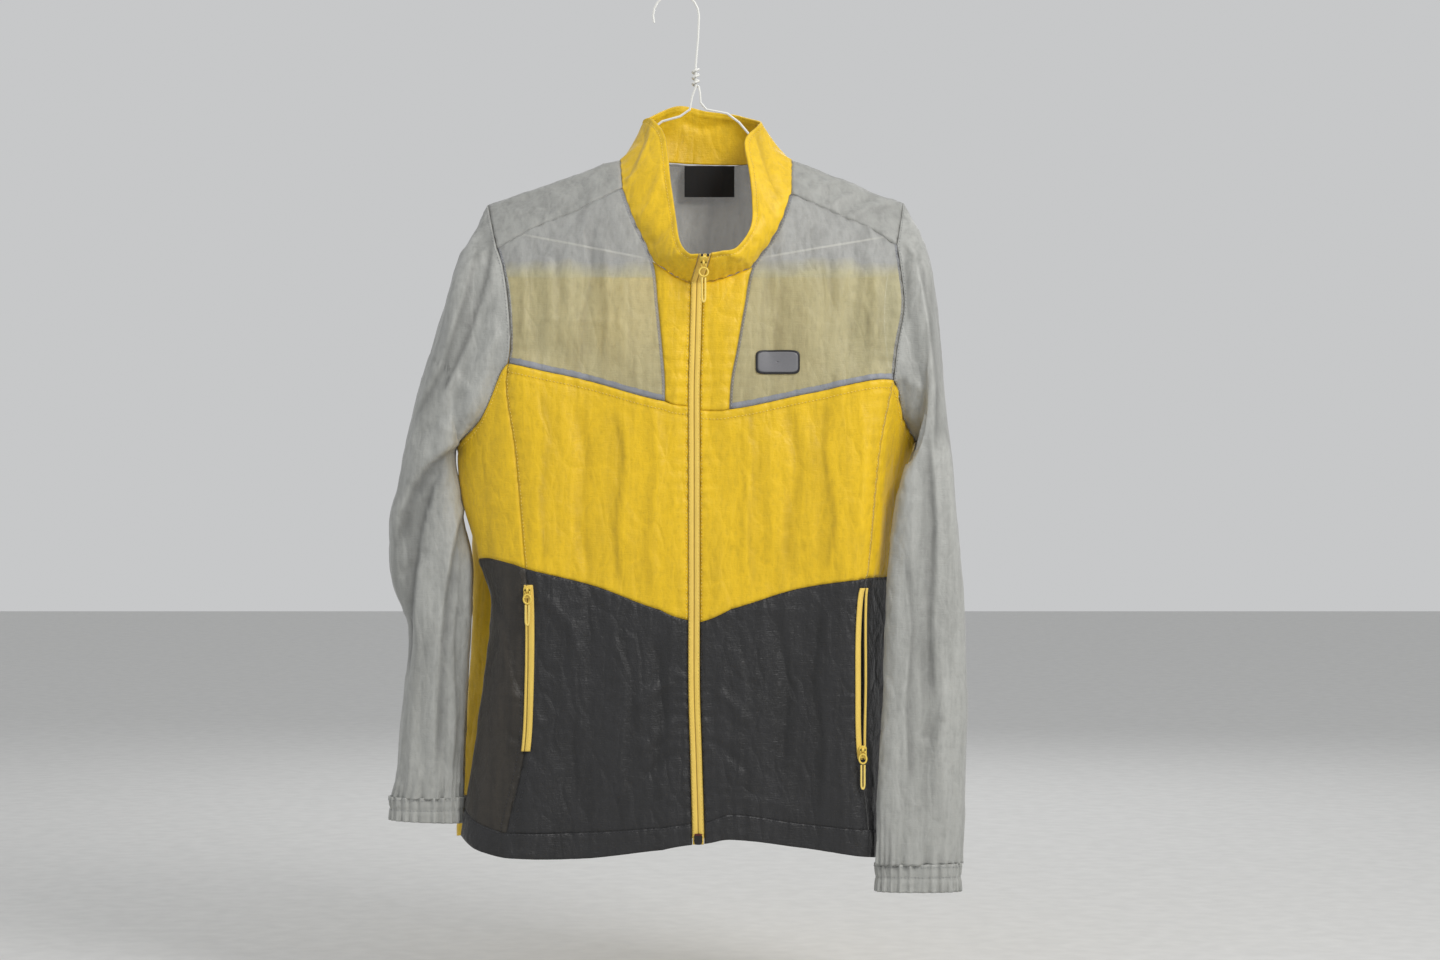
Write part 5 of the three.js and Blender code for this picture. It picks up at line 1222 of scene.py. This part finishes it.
COLLAR_CREASES = [
    ("ridge", 2.2, 5, [(-46, -250), (-30, -226), (-14, -190), (-8, -160)]),
    ("step", 2.4, 9, [(-54, -200), (-40, -180), (-30, -150), (-24, -124)]),
    ("ridge", -2.0, 5, [(-30, -262), (-12, -246), (4, -222)]),
    ("ridge", 1.8, 4, [(-10, -276), (4, -268), (16, -258)]),
    ("ridge", 1.8, 4, [(46, -262), (56, -270), (70, -274)]),
    ("ridge", 2.2, 5, [(96, -250), (84, -226), (76, -190), (72, -160)]),
    ("step", -2.4, 9, [(106, -214), (94, -190), (84, -156), (80, -128)]),
    ("ridge", -2.0, 5, [(84, -262), (72, -246), (62, -228)]),
    ("ridge", 1.6, 5, [(0, -122), (26, -132), (60, -126)]),
]

BADGE_MIDDLE = (102, -376)
# The cloth lies flat under the badge, out to the second reach
BADGE_FLAT, BADGE_REACH, BADGE_STRETCH = 15, 56, 1.6
BODY_SEED, SIDE_SEED, SEAM_SEED = 11, 5, 9


def from_sides(points):
    across = arc(points, 1)
    return np.minimum(across, across[:, -1:] - across)


def body_relief(name, points):
    x, z = points[..., 0], points[..., 2]
    front = smooth(-points[..., 1], -5, 10)
    if name == "yoke":
        placed = smooth(-points[..., 1], 1, 12) * creases(YOKE_CREASES, x, z)
    else:
        placed = front * creases(BODY_CREASES, x, z)
    placed = placed + (1 - front) * creases(BACK_CREASES, x, z)
    relief = (cloth_relief(points, BODY_SEED) + placed) * smooth(from_sides(points), 0, 12)
    if name.startswith("chest"):
        from_badge = np.hypot((x - BADGE_MIDDLE[0]) / BADGE_STRETCH, z - BADGE_MIDDLE[1])
        relief = relief * smooth(from_badge, BADGE_FLAT, BADGE_REACH)
    return relief


def seams(points, bottom_weight):
    """Gathers and a groove beside each seamed edge."""
    across, along = arc(points, 1), arc(points, 0)
    x, z = points[..., 0] + points[..., 1], points[..., 2]
    relief = 0
    for weight, distance, run, seed in (
        (1, across, z, SIDE_SEED),
        (1, across[:, -1:] - across, z, SIDE_SEED),
        (1, along, x, SEAM_SEED),
        (bottom_weight, along[-1:] - along, x, SEAM_SEED),
    ):
        relief = relief + weight * (pucker(distance, run, seed) - 0.7 * np.exp(-((distance / 2.2) ** 2)))
    return relief


def turned_edge(points):
    """The seam edge stitched down below the chest seam, with fine gathers in it."""
    along, x = arc(points, 0), points[..., 0] + points[..., 1]
    gathers = 0.35 * np.sin(2 * np.pi * (x + 3 * np.sin(x / 17)) / 7.5)
    return (1 - smooth(along, 7, 9)) * (0.6 + gathers) - 0.5 * np.exp(-(((along - 8.5) / 1.2) ** 2))


cloth_pieces = []


def cloth_piece(name, points, relief, lifts, outward, finish, slot, **more):
    piece = shell(f"{name}_cloth", points, relief, lifts, outward, finish, slot, [name], **more)
    cloth_pieces.append((piece, points))


def body_piece(name, points, finish, slot, bottom_weight=1, lifts=CLOTH_LIFTS, keep=None, away=None):
    outward = away_from_body(points) if away is None else away
    relief = body_relief(name, points) + seams(points, bottom_weight)
    if name.startswith("mid_"):
        relief = relief + turned_edge(points)
    inside = chest_inside if finish in (chest_grey, yoke_grey) else None
    rows = [YOKE_CREASES if name == "yoke" else BODY_CREASES, BACK_CREASES]
    shades = [crease_shade(placed, points[..., 0], points[..., 2]) for placed in rows]
    shade = 0.7 * np.where(points[..., 1] < 0, *shades)
    cloth_piece(name, points, relief, lifts, outward, finish, slot, keep=keep, inside=inside, shade=shade)


def under_hem(column):
    """Just inside the hem casing's top edge."""
    return round_z["stitch"](column) - 1.2


for side in SIDES:
    body_piece(f"chest_{side}", chest_points(side), chest_grey, "nylon_grey", away=AWAY_FRONT)

# Panels: ring columns on the left and on the right, lines above and below, and colour
chest_seam, waist_seam = round_z["chest"], round_z["waist"]
PANELS = [
    ("wedge", (1, 2), (-2, -1), wedge_top, chest_seam, "yellow"),
    ("mid_front", (1, 4), (-4, -1), chest_seam, waist_seam, "yellow"),
    ("mid_side", (4, 7), (13, 16), chest_seam, waist_seam, "yellow"),
    ("lower_front", (1, 4), (-4, -1), waist_seam, under_hem, "charcoal"),
    ("lower_side", (4, 7), (13, 16), waist_seam, under_hem, "charcoal"),
]
# The lower right side panel takes the charcoal nylon with painted brownish shade
FINISHES = {"yellow": yellow, "charcoal": charcoal, "lower_side_right": charcoal_painted_shade}
SLITS = {
    "lower_front_left": lambda z: (0, pocket_slit(z)),
    "lower_side_left": lambda z: (pocket_slit(z), 0),
}
for panel, *ends, above, below, colour in PANELS:
    for side, (start, end) in zip(SIDES, ends):
        name = f"{panel}_{side}"
        finish = FINISHES.get(name, FINISHES[colour])
        points = panel_points(start, end, above, below, slit=SLITS.get(name))
        body_piece(name, points, finish, f"nylon_{colour}")
HEM_SEAM = 0.4
HEM = (("left", 1, 7, "charcoal"), ("right", 13, 19, "charcoal"), ("back", 7, 13, "yellow"))
for name, start, end, colour in HEM:
    points = panel_points(start, end, round_z["stitch"], round_z["hem"], HEM_CELL)
    body_piece(f"hem_{name}", points, FINISHES[colour], f"nylon_{colour}", HEM_SEAM, HEM_LIFTS)
body_piece("back", back_points(), yellow, "nylon_yellow")
yoke, yoke_keep = yoke_points()
away = yoke * np.array([0, 1, 0]) + np.array([0, 0, 30.0])
body_piece("yoke", yoke, yoke_grey, "nylon_grey", keep=yoke_keep, away=away)

collar, s, t = collar_points()
run, x, z = arc(collar, 0), collar[..., 0], collar[..., 2]
relief = 1.2 * noise(collar, (26, 26, 30), 31) * smooth(t, 0.1, 0.5) + pucker(run, 600 * s, 33, 0.8)
relief = relief - 0.8 * np.exp(-(((run[-1:] - run - 5) / 1.4) ** 2))
relief = relief + smooth(t, 0, 0.2) * (1 - smooth(t, 0.8, 1)) * creases(COLLAR_CREASES, x, z)
shade = 0.6 * crease_shade(COLLAR_CREASES, x, z)
away = (collar - NECK_CENTRE) * LEVEL
cloth_piece("collar", collar, relief, COLLAR_LIFTS, away, yellow, "nylon_yellow", shade=shade)

for side, rows, placed, seed in (
    ("left", LEFT_SLEEVE, LEFT_SLEEVE_CREASES, 51),
    ("right", RIGHT_SLEEVE, RIGHT_SLEEVE_CREASES, 61),
):
    points, turn = sleeve_points(side, rows)
    centre = points.mean(axis=1, keepdims=True)
    x, y, z = np.moveaxis(points, -1, 0)
    facing = smooth(centre[..., 1] - y, -4, 6)
    relief = cloth_relief(points, seed, 1.2) + facing * creases(placed, x, z)
    above = z - z.min()
    gathers = np.sin(26 * turn + 2 * np.sin(3 * turn)) + 0.6 * np.sin(15 * turn + 1)
    relief = relief + 1.5 * gathers * np.exp(-above / 22) + 0.8 * np.sin(11 * turn + 2) * np.exp(-above / 70)
    relief = relief * smooth(arc(points, 0), 0, 14)
    shade = facing * crease_shade(placed, x, z)
    more = {"closed": True, "shade": shade}
    cloth_piece(f"sleeve_{side}", points, relief, CLOTH_LIFTS, points - centre, grey, "nylon_grey", **more)
# Cuffs: x outside and inside, y, top, bottom, half depth and tilt
CUFFS = [("right", -287, -212, -22, -811, -836, 23, 1.5), ("left", 283, 200, -65, -873, -901, 16, 0)]
for side, *sizes in CUFFS:
    points, turn = cuff_points(*sizes)
    centre = points.mean(axis=1, keepdims=True)
    folds = 1.3 * np.sin(26 * turn + 1.3 * np.sin(4 * turn)) + 0.4 * np.sin(52 * turn)
    share = np.linspace(0, 1, CUFF_ALONG)[:, None]
    middle_row = 0.9 * np.exp(-(((share - 0.5) / 0.08) ** 2))
    relief = folds * (0.75 + 0.25 * np.cos(2 * np.pi * share)) - middle_row + 0.6
    away = points - centre
    cloth_piece(f"cuff_{side}", points, relief, CUFF_LIFTS, away, grey, "nylon_grey", closed=True)

# Zip tapes: two rounded strips for each zip, close together
ZIP_TOP = np.array([30, -90.4, -270.4])
ZIP_BOTTOM_Z = -854.5
# Share of the main tape that bends up onto the collar's seam
HEAD = 0.06


def main_tape(sign):
    s, t = shares(9, 260)
    across = sign * lerp(0.06, ZIP_TAPE, s)
    z = lerp(WEDGE_MIDDLE_Z, ZIP_BOTTOM_Z, np.clip((t - HEAD) / (1 - HEAD), 0, 1))
    x = line["zip"](z)
    points = np.stack([x + across, front_y(x, z), z], -1)
    head = ZIP_TOP + np.stack([across, 0 * z, 0 * z], -1)
    return lerp(head, points, np.clip(t / HEAD, 0, 1)[..., None]), s


def pocket_tape(side, sign):
    column = 4 * SIDES[side]
    s, t = shares(8, 90)
    z = lerp(*POCKET_ENDS[side], t)
    slit = pocket_slit(z) if side == "left" else 0
    across = sign * (lerp(0.2, POCKET_TAPE, s) + slit)
    return body_point(column + across / column_length(column, z), z), s


def zip_tape_piece(name, points, s, outward, lifts, rise):
    relief = rise * np.sin(np.pi * np.clip(s, 0, 1)) ** 0.6 + 0.12 * noise(points, (5, 5, 9), 91)
    shell(f"{name}_cloth", points, relief, lifts, outward, tape_cloth, "zip_tape", [name])


for side, sign in SIDES.items():
    zip_tape_piece(f"zip_tape_{side}", *main_tape(sign), AWAY_FRONT, TAPE_LIFTS, 1.2)
    for letter, turn in (("a", 1), ("b", -1)):
        points, s = pocket_tape(side, turn)
        away = away_from_body(points)
        zip_tape_piece(f"pocket_tape_{letter}_{side}", points, s, away, POCKET_TAPE_LIFTS, 0.7)


# Chest badge: a blank plate with a dark rim
def rounded(half_width, half_height, share):
    angle = np.linspace(0, 2 * np.pi, 72, endpoint=False)[None, :]
    c, s = np.cos(angle), np.sin(angle)
    x = BADGE_MIDDLE[0] + share * half_width * np.sign(c) * np.abs(c) ** 0.32
    z = BADGE_MIDDLE[1] + share * half_height * np.sign(s) * np.abs(s) ** 0.32
    return np.stack([x, front_y(x, z), z], -1)


share = np.linspace(0.02, 1, 12)[:, None]
for name, half_sizes, relief, lifts, finish in (
    ("badge_rim", (22, 12), 0 * share, RIM_LIFTS, badge_rim),
    ("badge_face", (20.2, 10.2), 0.25 * (1 - share**6), FACE_LIFTS, badge_rubber),
):
    plate = rounded(*half_sizes, share)
    shell(name, plate, relief, lifts, AWAY_FRONT, finish, "badge", ["badge"], closed=True)

# Thread: rows of stitches beside the seams, by piece, left edge, right edge, distances and colour
STITCHED = [
    ("mid_front", "top", "top", (8,), "yellow"),
    ("mid_side", "top", "top", (8,), "yellow"),
    ("mid_front", "end", "start", (2,), "yellow"),
    ("mid_front", "start", "end", (1.6,), "yellow"),
    ("lower_front", "start", "end", (1.6,), "charcoal"),
    ("lower_front", "top", "top", (2,), "charcoal"),
    ("lower_side", "top", "top", (2,), "charcoal"),
    ("lower_front", "end", "start", (6.5,), "charcoal"),
    ("lower_side", "start", "end", (6.5,), "charcoal"),
    ("wedge", "start", "end", (1.6,), "yellow"),
    ("chest", "start", "start", (2,), "grey"),
    ("chest", "end", "end", (2,), "grey"),
    ("hem", "top", "top", (1.6,), "charcoal"),
    ("hem_back", "top", None, (1.6,), "yellow"),
    ("back", "top", None, (2, 8), "yellow"),
    ("back", "start", None, (2,), "yellow"),
    ("back", "end", None, (2,), "yellow"),
    ("collar", "bottom", None, (5,), "yellow"),
    ("sleeve", "top", "top", (2,), "grey"),
    ("cuff", "top", "top", (3, 13), "grey"),
    ("zip_tape", "end", "end", (1.1,), "yellow"),
]
number = 0
for piece, left_edge, right_edge, distances, colour in STITCHED:
    for side, edge in (("_left", left_edge), ("_right", right_edge)) if right_edge else (("", left_edge),):
        rows = [beside(f"{piece}{side}_cloth", edge, distance) for distance in distances]
        stitches(f"{piece}{side}_stitches_{number}", rows, threads[colour])
        number += 1

CUFF_FULLNESS = 1.26
for piece, points in cloth_pieces:
    width, length = float(arc(points, 1)[:, -1].mean()) * MM, float(arc(points, 0)[-1].mean()) * MM
    held = "gathered" if piece.name.startswith("cuff") else "hung"
    width = width * CUFF_FULLNESS if held == "gathered" else width


def box_mm(name):
    """Low and high corners of a CAD node, and the middle between them."""
    low, high = (np.array(corner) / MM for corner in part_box(name))
    return low, high, (low + high) / 2


# Free cords on the three pull tabs: places down one side of the loop, across and down, as shares
CORD, CORD_SPREAD, CORD_TURN = 2.0, 1.6, 2.4
DOWN = [(-1, 0), (-1, 0.4), (-1, 0.8), (-0.8, 0.95), (0, 1)]
LOOP = DOWN + [(-across, share) for across, share in DOWN[-2::-1]]
BODIES = {"zip": "main_tab", "pocket_left": "left_pocket_tab", "pocket_right": "right_pocket_tab"}
for name, body in BODIES.items():
    low, high, (x, y, _) = box_mm(f"{name}_cord")
    top, drop = high[2], high[2] - low[2] - CORD / 2
    data = bpy.data.curves.new(f"{name}_cord_loop", "CURVE")
    data.dimensions = "3D"
    data.bevel_depth = CORD / 2 * MM
    data.bevel_resolution = 4
    spline = data.splines.new("NURBS")
    spline.points.add(len(LOOP) - 1)
    for point, (across, share) in zip(spline.points, LOOP):
        point.co = ((x + across * CORD_SPREAD) * MM, y * MM, (top - share * drop) * MM, 1)
    spline.use_endpoint_u = True
    spline.order_u = 3
    loop = bpy.data.objects.new(f"{name}_cord_loop", data)
    bpy.context.scene.collection.objects.link(loop)
    data.materials.append(pull_cord)
    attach(loop, body)
    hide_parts(f"{name}_cord")
    length = (2 * drop + CORD_TURN) * MM

# Pull tabs: a neck on the crown's bar and an oval ring below it
TAB_AROUND, TAB_SECTION = 40, 10
RING_WIRE, RING_DEPTH, NECK_WIRE, NECK_DEPTH, NECK_TOP = 0.9, 0.7, 0.7, 0.6, 1.4


def add_bar(vertices, faces, x, y, ends, half_width):
    """An upright bar with its faces, between two heights."""
    base = len(vertices)
    for z in ends:
        for dx, dy in ((-1, -1), (1, -1), (1, 1), (-1, 1)):
            vertices.append(np.array([x + dx * half_width, y + dy * NECK_DEPTH, z]))
    for m in range(4):
        n = (m + 1) % 4
        faces.append((base + m, base + n, base + 4 + n, base + 4 + m))
    faces += [(base + 3, base + 2, base + 1, base), (base + 4, base + 5, base + 6, base + 7)]


def ring_tab(name, body, width, height, neck=4.2):
    low, high, (x, y, _) = box_mm(f"{name}_pull")
    top = high[2]
    middle = np.array([x, y, low[2] + height / 2])
    vertices, faces = [], []
    for k in range(TAB_AROUND):
        turn = 2 * np.pi * k / TAB_AROUND
        direction = np.array([np.sin(turn), 0, np.cos(turn)])
        out = middle + direction * np.array([width / 2 - RING_WIRE, 0, height / 2 - RING_WIRE])
        for m in range(TAB_SECTION):
            angle = 2 * np.pi * m / TAB_SECTION
            depth = np.array([0, RING_DEPTH * np.sin(angle), 0])
            vertices.append(out + direction * RING_WIRE * np.cos(angle) + depth)
            a, b = k * TAB_SECTION, (k + 1) % TAB_AROUND * TAB_SECTION
            n = (m + 1) % TAB_SECTION
            faces.append((a + m, a + n, b + n, b + m))
    ring_top = middle[2] + height / 2 - RING_WIRE
    for side in (-1, 1):
        add_bar(vertices, faces, x + side * neck / 2, y, (top, ring_top), NECK_WIRE)
    add_bar(vertices, faces, x, y, (top, top - NECK_TOP), neck / 2 + NECK_WIRE)
    tab = make_mesh(f"{name}_ring_tab", vertices, faces, yellow_zip)
    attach(tab, body)
    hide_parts(f"{name}_pull")


for name, body in BODIES.items():
    ring_tab(name, body, *((10.5, 10.5) if name == "zip" else (9, 11)))


# Top stops of the main zip, and the red top of its insertion box
def small_block(name, centre, size, material):
    corners = [(a, b, c) for a in (-0.5, 0.5) for b in (-0.5, 0.5) for c in (-0.5, 0.5)]
    vertices = np.array(centre) + np.array(corners) * np.array(size)
    faces = [(0, 1, 3, 2), (4, 6, 7, 5), (0, 4, 5, 1), (2, 3, 7, 6), (0, 2, 6, 4), (1, 5, 7, 3)]
    block = make_mesh(name, vertices, faces, material, smooth_shaded=False)
    bevel = block.modifiers.new("bevel", "BEVEL")
    bevel.width, bevel.segments = 0.35 * MM, 2
    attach(block, "jacket")


STOP_OFFSET = np.array([3.0, -1.2, -1.2])
STOP_SIZE, BOX_TOP_SIZE = (2.2, 1.4, 2.6), (7.4, 0.5, 1.8)
for side, sign in (("right", -1), ("left", 1)):
    small_block(f"top_stop_{side}", ZIP_TOP + STOP_OFFSET * np.array([sign, 1, 1]), STOP_SIZE, dark_plastic)
low, high, (x, _, _) = box_mm("zip_box")
small_block("zip_box_top", (x, low[1] - 0.2, high[2] - 1), BOX_TOP_SIZE, red_plastic)

# CAD pieces that stay, by the start of their names
STAYING = {
    "neck_label": label_cloth,
    "pocket_bag": label_cloth,
    "zip_box": dark_plastic,
    "zip_": yellow_zip,
    "pocket_": yellow_zip,
    "hanger": white_coat,
}
for name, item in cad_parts.items():
    finish = next((STAYING[start] for start in STAYING if name.startswith(start)), None)
    if finish and not item.hide_render:
        item.data.materials.clear()
        item.data.materials.append(finish)

# Stage and light
FLOOR_HALF, FLOOR_Z = 9, -1.02
floor_mesh = bpy.data.meshes.new("floor")
corners = [(x * FLOOR_HALF, y * FLOOR_HALF, FLOOR_Z) for x, y in ((-1, -1), (1, -1), (1, 1), (-1, 1))]
floor_mesh.from_pydata(corners, [], [(0, 1, 2, 3)])
floor = bpy.data.objects.new("floor", floor_mesh)
bpy.context.scene.collection.objects.link(floor)
floor_mesh.materials.append(plain("floor", (0.66, 0.66, 0.65, 1), 0.9, scale=40, bump=0.02))
floor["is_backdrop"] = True
scene = bpy.context.scene
scene.world = bpy.data.worlds.new("world")
scene.world.use_nodes = True
background = scene.world.node_tree.nodes["Background"]
background.inputs["Color"].default_value = (0.92, 0.93, 0.94, 1)
background.inputs["Strength"].default_value = 0.62
scene.view_settings.view_transform = "Standard"
# Area lights: place, energy, size and colour, all turned to the jacket's middle
JACKET_MIDDLE = Vector((0, 0, -0.5))
for name, place, energy, size, colour in (
    ("key", (1.1, -1.4, 0.8), 27, 0.7, (1, 0.98, 0.95)),
    ("fill", (-1.9, -2.2, 0.2), 2, 2.0, (0.95, 0.97, 1)),
    ("back", (0.3, 2.2, 0.9), 16, 1.8, (1, 1, 1)),
):
    data = bpy.data.lights.new(name, "AREA")
    data.energy, data.size, data.color = energy, size, colour
    lamp = bpy.data.objects.new(name, data)
    lamp.location = place
    lamp.rotation_euler = (JACKET_MIDDLE - Vector(place)).to_track_quat("-Z", "Y").to_euler()
    scene.collection.objects.link(lamp)

[[list(corner) for corner in box] for box in (cad_box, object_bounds())]
